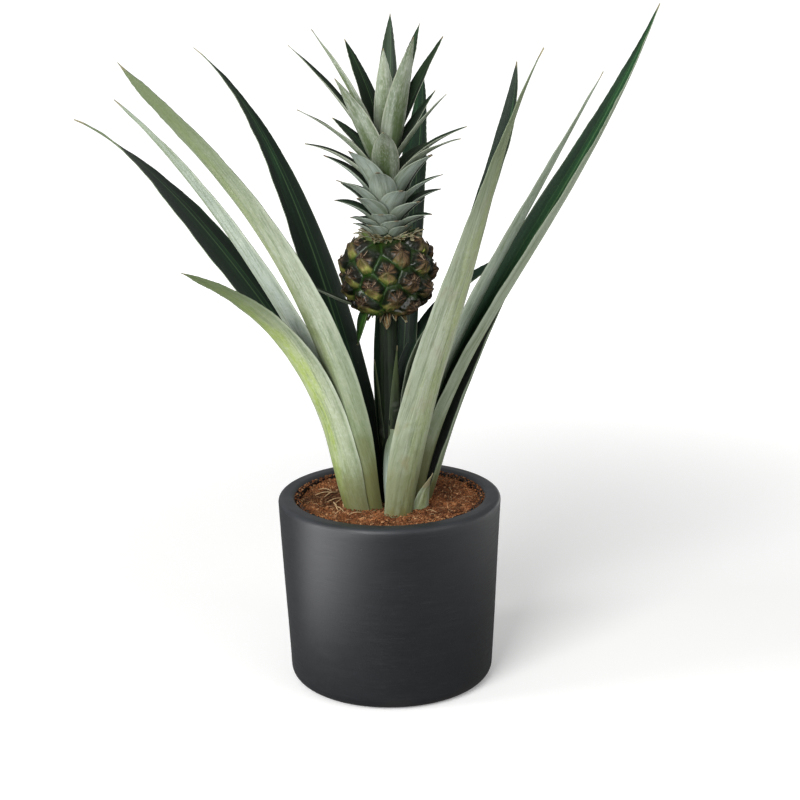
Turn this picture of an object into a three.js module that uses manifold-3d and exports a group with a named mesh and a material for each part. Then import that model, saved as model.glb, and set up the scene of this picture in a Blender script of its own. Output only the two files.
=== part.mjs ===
// Potted pineapple plant: a plain stoneware pot, the thin nursery pot and soil
// inside it, a rosette of channelled leaves, and one small fruit with its crown
// on a short stalk. Millimetres, +Z up, origin at the centre of the pot's base.
import * as THREE from "three";
import { mergeVertices } from "three/addons/utils/BufferGeometryUtils.js";
import Module from "manifold-3d";

const wasm = await Module();
wasm.setup();

// Driving dimensions
const GAP = 0.3;
const SLIVER = 0.15;

const POT_HEIGHT = 124;
const POT_RIM_RADIUS = 72.5;
const POT_FOOT_RADIUS = 66.8;
const POT_WALL = 11;
const POT_FLOOR = 10;
const POT_FOOT_ROUND = 8;
const POT_RIM_ROUND = 3.5;
const POT_SIDES = 40;

const NURSERY_TOP = 122;
const NURSERY_WALL = 1.2;
const NURSERY_FLOOR_RADIUS = 50;
const NURSERY_LIP = 2.2;
const NURSERY_LIP_DEPTH = 5;
const NURSERY_SIDES = 36;
const DRAIN_HOLES = 6;
const DRAIN_RADIUS = 4;
const DRAIN_RING_RADIUS = 34;

const SOIL_TOP = 120;
const SOIL_BACK_SLOPE = 0.03;
const SOIL_BUMP = 0.5;
const SOIL_EDGE_GAP = 0.8;
const SOIL_SIDES = 36;

const PLANT_X = 1;
const PLANT_Y = -6;
const CROWN_OF_ROOTS_Z = 113;
const LEAF_HOLE_RADIUS = 30.6;
const LEAF_HOLE_FLARE = 1.5;
const STEM_RADIUS = 7.6;
const STEM_DEPTH = 32;

const STALK_RADIUS = 6.6;
const STALK_NECK_RADIUS = 5.6;
const FRUIT_BOTTOM = 248;
const FRUIT_TOP = 294;
const FRUIT_RADIUS = 29.6;
const FRUIT_CAP_RADIUS = 8.5;
const FRUIT_LOW_ROUND = 1.9;
const FRUIT_HIGH_ROUND = 2.6;
const CROWN_CORE_HEIGHT = 57;
const CROWN_CORE_RADIUS = 9.5;
const CROWN_CORE_TIP_RADIUS = 2.5;
const CROWN_ROOT_DEPTH = 3;

const LEAF_THICKNESS = 1.5;
const LEAF_EDGE_THICKNESS = 0.7;
const LEAF_TIP_WIDTH = 0.9;
const LEAF_CLEARANCE = 0.4;

const degrees = THREE.MathUtils.degToRad;
const mix = THREE.MathUtils.lerp;
const clamp = THREE.MathUtils.clamp;

// A repeatable random stream
function seeded(seed) {
  let state = seed;
  return () => {
    state = (state * 16807) % 2147483647;
    return state / 2147483647;
  };
}

// Geometry to solid and back
function solidOf(geometry) {
  const bare = geometry.index ? geometry.toNonIndexed() : geometry.clone();
  bare.deleteAttribute("normal");
  bare.deleteAttribute("uv");
  const merged = mergeVertices(bare, 1e-4);
  return new wasm.Manifold(
    new wasm.Mesh({
      numProp: 3,
      vertProperties: merged.attributes.position.array,
      triVerts: new Uint32Array(merged.index.array),
    }),
  );
}

function geometryOf(solid) {
  const mesh = solid.getMesh();
  const geometry = new THREE.BufferGeometry();
  geometry.setAttribute(
    "position",
    new THREE.BufferAttribute(mesh.vertProperties, 3),
  );
  geometry.setIndex(new THREE.BufferAttribute(mesh.triVerts, 1));
  return geometry;
}

// Drops loose scraps and sealed hollows, and the slivers that a cut leaves
function tidied(solid) {
  return largest(solid.simplify(SLIVER));
}

function largest(solid) {
  return solid
    .decompose()
    .reduce((best, body) => (body.volume() > best.volume() ? body : best));
}

function joined(geometries) {
  return geometries.map(solidOf).reduce((whole, piece) => whole.add(piece));
}

// A turned body with its axis along Z, from a profile of [radius, height]
function turned(profile, sides) {
  const points = profile.map(([r, z]) => new THREE.Vector2(r, z));
  return new THREE.LatheGeometry(points, sides).rotateX(Math.PI / 2);
}

// Points of a quarter turn in a profile
function arc(cx, cz, radius, from, to, steps) {
  return Array.from({ length: steps + 1 }, (_, i) => {
    const a = degrees(mix(from, to, i / steps));
    return [cx + radius * Math.cos(a), cz + radius * Math.sin(a)];
  });
}

// The value at u of the smooth curve through evenly spaced values
function through(values, u) {
  const last = values.length - 1;
  return values.reduce((sum, value, i) => {
    let weight = 1;
    for (let j = 0; j <= last; j++) {
      if (j !== i) weight *= (u * last - j) / (i - j);
    }
    return sum + value * weight;
  }, 0);
}

// Blades: a centre line that leans more or less along its length, with a
// channelled cross-section that can twist. Angles are in degrees, lean is
// measured from vertical and azimuth from +X towards +Y.
function bladeWidth(shape, u) {
  const { widest, width, taper, tipWidth = LEAF_TIP_WIDTH } = shape;
  if (u < widest) {
    const s = u / widest;
    return mix(width[0], width[1], s * s * (3 - 2 * s));
  }
  const left = 1 - ((u - widest) / (1 - widest)) ** taper;
  return Math.max(width[1] * left, tipWidth);
}

function bladeFrames(shape, stations) {
  const frames = [];
  const centre = shape.base.clone();
  let before = null;
  for (let i = 0; i <= stations; i++) {
    const u = i / stations;
    const lean = degrees(through(shape.lean, u));
    const azimuth = degrees(through(shape.azimuth, u));
    const outward = new THREE.Vector3(Math.cos(azimuth), Math.sin(azimuth), 0);
    const along = outward.clone().multiplyScalar(Math.sin(lean));
    along.z = Math.cos(lean);
    if (before) {
      const step = shape.length / stations / 2;
      centre.addScaledVector(before, step).addScaledVector(along, step);
    }
    before = along;
    const inner = outward.multiplyScalar(-Math.cos(lean));
    inner.z = Math.sin(lean);
    const twist = degrees(through(shape.twist, u));
    inner.applyAxisAngle(along, twist);
    const across = new THREE.Vector3().crossVectors(along, inner);
    frames.push({ u, centre: centre.clone(), along, inner, across });
  }
  return frames;
}

function bladeGeometry(shape) {
  const { stations = 13, strips = 4 } = shape;
  const { thickness = LEAF_THICKNESS, edge = LEAF_EDGE_THICKNESS } = shape;
  const frames = bladeFrames(shape, stations);
  const positions = [];
  frames.forEach(({ u, centre, along, inner, across }, row) => {
    const width = bladeWidth(shape, u);
    const fold = degrees(Math.max(through(shape.fold, u), 2));
    for (const side of [1, -1]) {
      for (let k = 0; k <= strips; k++) {
        const v = (2 * k) / strips - 1;
        const turn = fold * v;
        const reach = width / 2 / fold;
        const face = inner
          .clone()
          .multiplyScalar(Math.cos(turn))
          .addScaledVector(across, -Math.sin(turn));
        const middle = mix(thickness, edge, u ** 2);
        const half = mix(middle, edge, v * v) / 2;
        const point = centre
          .clone()
          .addScaledVector(across, Math.sin(turn) * reach)
          .addScaledVector(inner, (1 - Math.cos(turn)) * reach)
          .addScaledVector(face, side * half);
        if (row === 0 && shape.flatBase) {
          point.addScaledVector(along, (shape.base.z - point.z) / along.z);
        }
        positions.push(point.x, point.y, point.z);
      }
    }
  });
  return closedStrip(positions, stations, strips);
}

// Joins rows of an upper and a lower line of points into one closed blade, with
// both faces split alike
function closedStrip(positions, stations, strips) {
  const line = strips + 1;
  const upper = (row, k) => row * 2 * line + k;
  const lower = (row, k) => upper(row, k) + line;
  const index = [];
  const quad = (a, b, c, d) => index.push(a, b, c, a, c, d);
  for (let row = 0; row < stations; row++) {
    for (let k = 0; k < strips; k++) {
      const next = row + 1;
      quad(upper(row, k), upper(row, k + 1), upper(next, k + 1), upper(next, k));
      index.push(lower(row, k), lower(next, k + 1), lower(row, k + 1));
      index.push(lower(row, k), lower(next, k), lower(next, k + 1));
    }
    quad(lower(row, 0), upper(row, 0), upper(row + 1, 0), lower(row + 1, 0));
    quad(
      upper(row, strips),
      lower(row, strips),
      lower(row + 1, strips),
      upper(row + 1, strips),
    );
  }
  for (let k = 0; k < strips; k++) {
    quad(lower(0, k), lower(0, k + 1), upper(0, k + 1), upper(0, k));
    quad(
      upper(stations, k),
      upper(stations, k + 1),
      lower(stations, k + 1),
      lower(stations, k),
    );
  }
  const geometry = new THREE.BufferGeometry();
  geometry.setAttribute(
    "position",
    new THREE.Float32BufferAttribute(positions, 3),
  );
  geometry.setIndex(index);
  return geometry;
}

// Stoneware pot
function potGeometry() {
  const foot = POT_FOOT_ROUND;
  const rim = POT_RIM_ROUND;
  const inner = POT_RIM_RADIUS - POT_WALL;
  const innerFoot = POT_FOOT_RADIUS - POT_WALL;
  return turned(
    [
      [0, 0],
      ...arc(POT_FOOT_RADIUS - foot, foot, foot, -90, 0, 4),
      ...arc(POT_RIM_RADIUS - rim, POT_HEIGHT - rim, rim, 0, 90, 4),
      ...arc(inner + rim, POT_HEIGHT - rim, rim, 90, 180, 3),
      [innerFoot, POT_FLOOR],
      [0, POT_FLOOR],
    ],
    POT_SIDES,
  );
}

// Thin nursery pot that stands inside
function nurseryGeometry() {
  const floor = POT_FLOOR + GAP;
  const outerTop = POT_RIM_RADIUS - POT_WALL - GAP - NURSERY_LIP / 2;
  const innerTop = outerTop - NURSERY_WALL;
  const lip = outerTop + NURSERY_LIP / 2 - GAP;
  const body = turned(
    [
      [0, floor],
      [NURSERY_FLOOR_RADIUS, floor],
      [outerTop - GAP, NURSERY_TOP - NURSERY_LIP_DEPTH],
      [lip - GAP, NURSERY_TOP - NURSERY_LIP_DEPTH + NURSERY_LIP / 4],
      [lip, NURSERY_TOP],
      [innerTop, NURSERY_TOP],
      [NURSERY_FLOOR_RADIUS - NURSERY_WALL, floor + NURSERY_WALL],
      [0, floor + NURSERY_WALL],
    ],
    NURSERY_SIDES,
  );
  let solid = solidOf(body);
  for (let i = 0; i < DRAIN_HOLES; i++) {
    const a = (2 * Math.PI * i) / DRAIN_HOLES;
    const hole = new THREE.CylinderGeometry(DRAIN_RADIUS, DRAIN_RADIUS, 8, 12)
      .rotateX(Math.PI / 2)
      .translate(
        DRAIN_RING_RADIUS * Math.cos(a),
        DRAIN_RING_RADIUS * Math.sin(a),
        floor,
      );
    solid = solid.subtract(solidOf(hole));
  }
  return geometryOf(solid);
}

// Soil, with a plain hole for the leaf bases and a deeper one for the stem
function soilHeight(x, y) {
  const bumps = Math.sin(x / 5.1 + 1) * Math.cos(y / 4.3) + Math.sin((x - y) / 9);
  return SOIL_TOP + SOIL_BACK_SLOPE * y + SOIL_BUMP * bumps;
}

function soilGeometry() {
  const inside = POT_RIM_RADIUS - POT_WALL - NURSERY_LIP / 2 - NURSERY_WALL;
  const outerTop = inside - 2 * GAP - SOIL_EDGE_GAP;
  const bottom = POT_FLOOR + NURSERY_WALL + 2 * GAP;
  const outerBottom = NURSERY_FLOOR_RADIUS - NURSERY_WALL - 2 * GAP;
  const ledge = CROWN_OF_ROOTS_Z - GAP;
  const holeTop = LEAF_HOLE_RADIUS + LEAF_HOLE_FLARE;
  const topRings = [0, 0.2, 0.4, 0.6, 0.8, 1].map((s) => [
    mix(outerTop, holeTop, s),
    SOIL_TOP,
  ]);
  const geometry = turned(
    [
      [0, bottom],
      [outerBottom, bottom],
      ...topRings,
      [LEAF_HOLE_RADIUS, ledge],
      [STEM_RADIUS + GAP, ledge],
      [STEM_RADIUS + GAP, CROWN_OF_ROOTS_Z - STEM_DEPTH - GAP],
      [0, CROWN_OF_ROOTS_Z - STEM_DEPTH - GAP],
    ],
    SOIL_SIDES,
  );
  const position = geometry.attributes.position;
  for (let i = 0; i < position.count; i++) {
    const radius = Math.hypot(position.getX(i), position.getY(i));
    const z = position.getZ(i);
    const inward = clamp((outerTop - radius) / (outerTop - holeTop), 0, 1);
    const share = z > bottom + GAP ? inward : 0;
    const x = position.getX(i) + PLANT_X * share;
    const y = position.getY(i) + PLANT_Y * share;
    const onTop = Math.abs(z - SOIL_TOP) < 1e-3;
    position.setXYZ(i, x, y, onTop ? soilHeight(x, y) : z);
  }
  return geometry;
}

// Stem, stalk and the small bracts on it
function uprightBlade(azimuth, z, length, width, lean, extra = {}) {
  const radius = extra.radius ?? STALK_RADIUS - 1.2;
  return bladeGeometry({
    base: new THREE.Vector3(
      PLANT_X + radius * Math.cos(degrees(azimuth)),
      PLANT_Y + radius * Math.sin(degrees(azimuth)),
      z,
    ),
    length,
    lean,
    azimuth: [azimuth, azimuth, azimuth],
    twist: [0, 0, 0],
    fold: [60, 40, 20],
    width: [width, width * 1.05],
    widest: 0.3,
    taper: 1.8,
    stations: 8,
    strips: 2,
    thickness: 1.4,
    ...extra,
  });
}

function stalkGeometry() {
  const foot = CROWN_OF_ROOTS_Z - STEM_DEPTH;
  const stalk = turned(
    [
      [0, foot],
      [STEM_RADIUS - 1.5, foot],
      [STEM_RADIUS, foot + 3],
      [STEM_RADIUS, CROWN_OF_ROOTS_Z + 6],
      [STALK_RADIUS, CROWN_OF_ROOTS_Z + 30],
      [STALK_NECK_RADIUS, FRUIT_BOTTOM - 12],
      [FRUIT_CAP_RADIUS - 1, FRUIT_BOTTOM - GAP],
      [0, FRUIT_BOTTOM - GAP],
    ],
    16,
  ).translate(PLANT_X, PLANT_Y, 0);
  const sheaths = [
    uprightBlade(190, 128, 88, 11, [0, 2, 3, 7]),
    uprightBlade(310, 134, 92, 10, [0, 1, 2, 4]),
  ];
  const bracts = [
    uprightBlade(180, FRUIT_BOTTOM - 5, 74, 7, [96, 74, 64, 58], { radius: 4.5 }),
    uprightBlade(200, FRUIT_BOTTOM - 4, 27, 12, [98, 110, 145, 160], { radius: 5 }),
    uprightBlade(285, FRUIT_BOTTOM - 3.5, 12, 7, [140, 165, 172, 176], {
      radius: 5.4,
      stations: 4,
    }),
  ];
  return geometryOf(tidied(joined([stalk, ...sheaths, ...bracts])));
}

// Fruit: domed eyes in a golden-angle lattice, fused to a core. The middle of
// each eye is drawn up and out into the point of its bract.
const EYE_COUNT = 33;
const EYE_TURN = 137.508;
const EYE_PHASE = 39;
const EYE_LOW = 0.09;
const EYE_HIGH = 0.95;
const EYE_RADIUS = 9.7;
const EYE_END_SHARE = 0.8;
const EYE_FOOT_SHARE = 0.9;
const EYE_SHOULDER_SHARE = 0.62;
const EYE_SIDES = 7;
const EYE_RISE = 2.7;
const EYE_DEPTH = 3;
const BRACT_RISE = 1.8;
const BRACT_LIFT = 3.6;

function fruitPoint(s, azimuth, raise) {
  const across = 2 * s - 1;
  const round = across < 0 ? FRUIT_LOW_ROUND : FRUIT_HIGH_ROUND;
  const bulge = Math.sqrt(Math.max(1 - Math.abs(across) ** round, 0));
  const slope = Math.sign(across) * Math.abs(across) ** 1.6 * 1.2;
  const skin = mix(FRUIT_CAP_RADIUS, FRUIT_RADIUS - EYE_RISE, bulge);
  const r = skin + raise * Math.cos(slope);
  const z = mix(FRUIT_BOTTOM, FRUIT_TOP, s) + raise * Math.sin(slope);
  return new THREE.Vector3(r * Math.cos(azimuth), r * Math.sin(azimuth), z);
}

function fruitCore() {
  const rows = 8;
  const profile = Array.from({ length: rows + 1 }, (_, i) => {
    const p = fruitPoint(i / rows, 0, 0);
    return [p.x, p.z];
  });
  return turned([[0, FRUIT_BOTTOM], ...profile, [0, FRUIT_TOP]], 18);
}

function ringOf(centre, across, up, radius, sides) {
  return Array.from({ length: sides }, (_, k) => {
    const turn = (2 * Math.PI * k) / sides;
    return centre
      .clone()
      .addScaledVector(across, radius * Math.cos(turn))
      .addScaledVector(up, radius * Math.sin(turn));
  });
}

function fruitEye(s, azimuth) {
  const sides = EYE_SIDES;
  const radius = EYE_RADIUS * mix(1, EYE_END_SHARE, (2 * s - 1) ** 2);
  const here = fruitPoint(s, azimuth, 0);
  const outward = fruitPoint(s, azimuth, 1).sub(here).normalize();
  const across = new THREE.Vector3(-Math.sin(azimuth), Math.cos(azimuth), 0);
  const up = new THREE.Vector3().crossVectors(outward, across);
  const at = (height) => here.clone().addScaledVector(outward, height);
  const points = [
    at(-EYE_DEPTH),
    ...ringOf(at(-EYE_DEPTH), across, up, radius * EYE_FOOT_SHARE, sides),
    ...ringOf(at(0), across, up, radius, sides),
    ...ringOf(at(EYE_RISE), across, up, radius * EYE_SHOULDER_SHARE, sides),
    at(EYE_RISE + BRACT_RISE).addScaledVector(up, BRACT_LIFT),
  ];
  const ring = (row, k) => 1 + row * sides + (k % sides);
  const last = points.length - 1;
  const index = [];
  for (let k = 0; k < sides; k++) {
    index.push(0, ring(0, k + 1), ring(0, k));
    for (const row of [0, 1]) {
      index.push(ring(row, k), ring(row, k + 1), ring(row + 1, k + 1));
      index.push(ring(row, k), ring(row + 1, k + 1), ring(row + 1, k));
    }
    index.push(ring(2, k), ring(2, k + 1), last);
  }
  const geometry = new THREE.BufferGeometry();
  const flat = points.flatMap((p) => p.toArray());
  geometry.setAttribute("position", new THREE.Float32BufferAttribute(flat, 3));
  geometry.setIndex(index);
  return geometry;
}

function fruitGeometry() {
  const pieces = [fruitCore()];
  for (let i = 0; i < EYE_COUNT; i++) {
    const s = mix(EYE_LOW, EYE_HIGH, i / (EYE_COUNT - 1));
    pieces.push(fruitEye(s, degrees(EYE_PHASE + EYE_TURN * i)));
  }
  return geometryOf(tidied(joined(pieces))).translate(PLANT_X, PLANT_Y, 0);
}

// Crown of short leaves on top of the fruit. The low ones follow a 5/13 spiral,
// the high ones are set one by one, each from its base height to its tip.
const CROWN_SPIRAL_LEAVES = 32;
const CROWN_TURN = (360 * 5) / 13;
const CROWN_PHASE = -99;
const CROWN_FIRST_RISE = 0.9;
const CROWN_RISE = 0.65;
const CROWN_SPREAD = 1.5;
const CROWN_TWIST = 8;
const CROWN_BASE_SHARE = 0.62;
const CROWN_TOP_LEAVES = [
  { azimuth: -92, from: 316, reach: 38, to: 364, width: 18, bend: 30 },
  { azimuth: 180, from: 318, reach: 50, to: 353, width: 16, bend: 26 },
  { azimuth: 45, from: 319, reach: 44, to: 350, width: 16, bend: 26 },
  { azimuth: -22, from: 320, reach: 49, to: 357, width: 16, bend: 26 },
  { azimuth: 98, from: 323, reach: 42, to: 362, width: 16, bend: 22 },
  { azimuth: -128, from: 323, reach: 48, to: 396, width: 18, bend: 13 },
  { azimuth: 2, from: 325, reach: 50, to: 362, width: 15, bend: 20 },
  { azimuth: 145, from: 326, reach: 41, to: 366, width: 15, bend: 16 },
  { azimuth: 192, from: 327, reach: 55, to: 375, width: 15, bend: 16 },
  { azimuth: -58, from: 328, reach: 33, to: 419, width: 18, bend: 9 },
  { azimuth: 28, from: 332, reach: 35, to: 383, width: 13, bend: 8 },
  { azimuth: -12, from: 334, reach: 38, to: 383, width: 13, bend: 8 },
  { azimuth: 168, from: 335, reach: 61, to: 412, width: 14, bend: 11 },
  { azimuth: -92, from: 336, reach: 22, to: 412, width: 15, bend: 7 },
  { azimuth: 198, from: 338, reach: 46, to: 423, width: 15, bend: 8 },
  { azimuth: 38, from: 340, reach: 46, to: 415, width: 14, bend: 9 },
  { azimuth: 128, from: 343, reach: 41, to: 414, width: 14, bend: 8 },
  { azimuth: 55, from: 345, reach: 38, to: 423, width: 13, bend: 6 },
  { azimuth: 80, from: 346, reach: 20, to: 430, width: 14, bend: 5 },
];

function crownCoreRadius(z) {
  const u = (z - FRUIT_TOP) / CROWN_CORE_HEIGHT;
  return mix(CROWN_CORE_RADIUS, CROWN_CORE_TIP_RADIUS, clamp(u, 0, 1));
}

function crownLeaf({ azimuth, from, reach, to, width, bend, twist = 0 }) {
  const radius = Math.max(crownCoreRadius(from) - CROWN_ROOT_DEPTH, 1.5);
  const chord = Math.hypot(reach - radius, to - from);
  const slope = (Math.atan2(reach - radius, to - from) * 180) / Math.PI;
  const turn = degrees(azimuth);
  return bladeGeometry({
    base: new THREE.Vector3(
      radius * Math.cos(turn),
      radius * Math.sin(turn),
      from,
    ),
    length: (chord * degrees(bend)) / Math.sin(degrees(bend)),
    lean: [slope - bend, slope - bend / 3, slope + bend / 3, slope + bend],
    azimuth: [azimuth, azimuth, azimuth],
    twist: [0, twist / 2, twist],
    fold: [40, 34, 12],
    width: [width * CROWN_BASE_SHARE, width],
    widest: 0.42,
    taper: mix(2.4, 1.6, Math.min(chord / 80, 1)),
    stations: chord > 50 ? 5 : 4,
    strips: 2,
    thickness: 1.3,
  });
}

function spiralLeaf(i, random) {
  const u = i / CROWN_SPIRAL_LEAVES;
  return {
    azimuth: CROWN_PHASE + CROWN_TURN * i,
    from: FRUIT_TOP + CROWN_FIRST_RISE + CROWN_RISE * i,
    reach: through([17, 32, 40], u) + mix(-CROWN_SPREAD, CROWN_SPREAD, random()),
    to: through([300, 317.5, 356], u) + mix(-CROWN_SPREAD, CROWN_SPREAD, random()),
    width: through([11, 17.5, 18.5], u),
    bend: through([14, 22, 26], u),
    twist: mix(-CROWN_TWIST, CROWN_TWIST, random()),
  };
}

function crownGeometry() {
  const random = seeded(41);
  const floor = FRUIT_TOP + GAP;
  const core = turned(
    [
      [0, floor],
      [FRUIT_CAP_RADIUS - 0.5, floor],
      [CROWN_CORE_RADIUS, floor + 4],
      [CROWN_CORE_RADIUS * 0.75, floor + CROWN_CORE_HEIGHT * 0.5],
      [CROWN_CORE_TIP_RADIUS, floor + CROWN_CORE_HEIGHT],
      [0, floor + CROWN_CORE_HEIGHT],
    ],
    10,
  );
  const spiral = Array.from({ length: CROWN_SPIRAL_LEAVES }, (_, i) =>
    crownLeaf(spiralLeaf(i, random)),
  );
  const top = CROWN_TOP_LEAVES.map(crownLeaf);
  return geometryOf(tidied(joined([core, ...spiral, ...top]))).translate(
    PLANT_X,
    PLANT_Y,
    0,
  );
}

// The rosette's long leaves. ring is the radius at which a leaf's base clasps
// the stem, at the azimuth called side.
const LEAVES = {
  leaf_low_left: {
    ring: 24, side: 207, length: 226,
    lean: [20, 22, 44, 64], azimuth: [209, 220, 217],
    width: [34, 37], widest: 0.36, taper: 1.7,
    fold: [38, 20], twist: [1, 2, 34],
  },
  leaf_low_right: {
    ring: 20.5, side: 14, length: 192,
    lean: [20, 21, 26, 30], azimuth: [14, 18, 18],
    width: [28, 30], widest: 0.3, taper: 1.7,
    fold: [40, 20], twist: [0, 0, 0],
  },
  leaf_right_stub: {
    ring: 25.5, side: -42, length: 36,
    lean: [0, 16, 24, 24], azimuth: [-62, -50, -20],
    width: [13, 12], widest: 0.35, taper: 1.6,
    fold: [30, 25], twist: [0, 0, 0], stations: 7,
  },
  leaf_front_right: {
    ring: 21.5, side: -75, length: 327,
    lean: [9, 23, 20, 31], azimuth: [-50, -46, -39],
    width: [32, 41], widest: 0.42, taper: 1.5,
    fold: [39, 13], twist: [7, 12, 29],
  },
  leaf_left_broad: {
    ring: 22, side: 158, length: 344,
    lean: [2, 38, 50, 73], azimuth: [186, 147, 151],
    width: [28, 40], widest: 0.6, taper: 1.8,
    fold: [24, 9], twist: [12, 8, 37],
  },
  leaf_front_left: {
    ring: 19.6, side: 222, length: 353,
    lean: [15, 22, 37, 46], azimuth: [227, 218, 228],
    width: [30, 48], widest: 0.37, taper: 1.9,
    fold: [45, 5], twist: [5, -12, 17],
  },
  leaf_left_narrow: {
    ring: 17.8, side: 196, length: 318,
    lean: [8, 26, 33, 46], azimuth: [203, 204, 204],
    width: [26, 34], widest: 0.39, taper: 1.56,
    fold: [50, 27], twist: [1, 1, 19],
  },
  leaf_back_left: {
    ring: 16, side: 132, length: 345,
    lean: [12, 26, 34, 60], azimuth: [134, 129, 144],
    width: [28, 33], widest: 0.35, taper: 1.96,
    fold: [45, 11], twist: [0, 6, 29],
  },
  leaf_right_broad: {
    ring: 16.5, side: -6, length: 360,
    lean: [7, 28, 31, 27], azimuth: [-6, 5, 35],
    width: [30, 46], widest: 0.5, taper: 1.42,
    fold: [51, 37], twist: [-5, 2, -17],
  },
  leaf_front_stub: {
    ring: 17.2, side: 279, length: 62,
    lean: [3, 3, 3, 3], azimuth: [265, 265, 265],
    width: [12, 15], widest: 0.4, taper: 4,
    fold: [30, 25], twist: [0, 0, 0], stations: 8, tipWidth: 5,
  },
  leaf_right_narrow: {
    ring: 14.8, side: -14, length: 311,
    lean: [0, 23, 28, 28], azimuth: [-14, -14, -13],
    width: [22, 30], widest: 0.35, taper: 1.8,
    fold: [48, 30], twist: [0, -2, -2],
  },
  leaf_back_right: {
    ring: 13, side: 42, length: 299,
    lean: [10, 21, 22, 7], azimuth: [42, 34, 46],
    width: [18, 36], widest: 0.37, taper: 2.1,
    fold: [47, 9], twist: [2, -25, 15],
  },
  leaf_back: {
    ring: 11.2, side: 80, length: 302,
    lean: [6, 12, 27, 45], azimuth: [81, 73, 86],
    width: [18, 32], widest: 0.36, taper: 1.74,
    fold: [39, 15], twist: [0, -4, -5],
  },
  leaf_right_short: {
    ring: 10.4, side: 50, length: 200,
    lean: [5, 6, 40, 62], azimuth: [50, 20, 14],
    width: [15, 25], widest: 0.5, taper: 2.1,
    fold: [47, 16], twist: [0, -8, 12],
  },
};

function rosetteLeaf(shape) {
  const side = degrees(shape.side);
  const clasp = THREE.MathUtils.radToDeg(shape.width[0] / 2 / shape.ring);
  const [middle, tip] = shape.fold;
  return {
    ...shape,
    flatBase: true,
    fold: [clasp, middle, tip],
    base: new THREE.Vector3(
      PLANT_X + shape.ring * Math.cos(side),
      PLANT_Y + shape.ring * Math.sin(side),
      CROWN_OF_ROOTS_Z,
    ),
  };
}

// The same leaf a little larger all round, which clears its neighbours
function swollen(shape) {
  return bladeGeometry({
    ...shape,
    thickness: (shape.thickness ?? LEAF_THICKNESS) + 2 * LEAF_CLEARANCE,
    edge: LEAF_EDGE_THICKNESS + 2 * LEAF_CLEARANCE,
    width: shape.width.map((w) => w + 2 * LEAF_CLEARANCE),
  });
}

// Leaves from the front of the rosette to its back. Where the margin of one
// would run into a leaf that stands before it, that margin is cut back.
function rosette() {
  const placed = [];
  return Object.entries(LEAVES).map(([name, values]) => {
    const shape = rosetteLeaf(values);
    let solid = solidOf(bladeGeometry(shape));
    for (const other of placed) {
      if (solid.intersect(other).volume() > 0) {
        solid = largest(solid.subtract(other));
      }
    }
    placed.push(solidOf(swollen(shape)));
    return [name, geometryOf(tidied(solid))];
  });
}

// Materials
function material(color, roughness) {
  return new THREE.MeshStandardMaterial({ color, roughness, metalness: 0 });
}

const materials = {
  stoneware: material("#43464a", 0.7),
  plastic: material("#1b1b1c", 0.5),
  soil: material("#5f3626", 0.95),
  stalk: material("#35402f", 0.55),
  fruit: material("#54502c", 0.5),
  crown: material("#93a391", 0.6),
  leaf: material("#6f8a5c", 0.5),
};

// Assembly
const root = new THREE.Group();

function addNode(name, geometry, look) {
  const mesh = new THREE.Mesh(geometry, look);
  mesh.name = name;
  root.add(mesh);
}

addNode("pot", potGeometry(), materials.stoneware);
addNode("nursery_pot", nurseryGeometry(), materials.plastic);
addNode("soil", soilGeometry(), materials.soil);
addNode("stem_and_stalk", stalkGeometry(), materials.stalk);
addNode("fruit", fruitGeometry(), materials.fruit);
addNode("crown", crownGeometry(), materials.crown);
for (const [name, geometry] of rosette()) {
  addNode(name, geometry, materials.leaf);
}

export default root;
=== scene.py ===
"""Potted pineapple plant: a matte charcoal pot, soil, a rosette of long leaves and one
small crowned fruit on a stalk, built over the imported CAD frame."""

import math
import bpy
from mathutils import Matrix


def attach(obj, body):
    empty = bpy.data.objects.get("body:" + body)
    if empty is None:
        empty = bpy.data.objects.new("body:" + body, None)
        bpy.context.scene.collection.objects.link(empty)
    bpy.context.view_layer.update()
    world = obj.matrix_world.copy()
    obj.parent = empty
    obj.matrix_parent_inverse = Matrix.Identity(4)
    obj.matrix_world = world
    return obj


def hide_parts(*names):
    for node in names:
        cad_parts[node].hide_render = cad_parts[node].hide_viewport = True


bl_info = {
    "name": "Potted Pineapple Plant",
    "version": (1, 0, 0),
    "blender": (4, 5, 0),
    "location": "3D View > Sidebar > Plant",
    "description": "Builds a potted ornamental pineapple plant with its soil and pot",
    "category": "Add Mesh",
}

from types import SimpleNamespace

import bmesh
import bpy
import numpy as np
from mathutils import Matrix, Vector, noise

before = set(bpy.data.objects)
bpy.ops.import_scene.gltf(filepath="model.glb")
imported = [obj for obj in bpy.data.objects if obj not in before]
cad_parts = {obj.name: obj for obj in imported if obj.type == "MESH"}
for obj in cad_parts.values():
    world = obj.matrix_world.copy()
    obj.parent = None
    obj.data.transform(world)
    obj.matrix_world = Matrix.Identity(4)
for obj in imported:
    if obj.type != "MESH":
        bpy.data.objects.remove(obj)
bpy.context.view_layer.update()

MM = 0.001
# Middle of the plant and height where its leaves start, in millimetres
PLANT_X = 1.0
PLANT_Y = -6.0
LEAF_BASE_Z = 113.0

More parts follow.
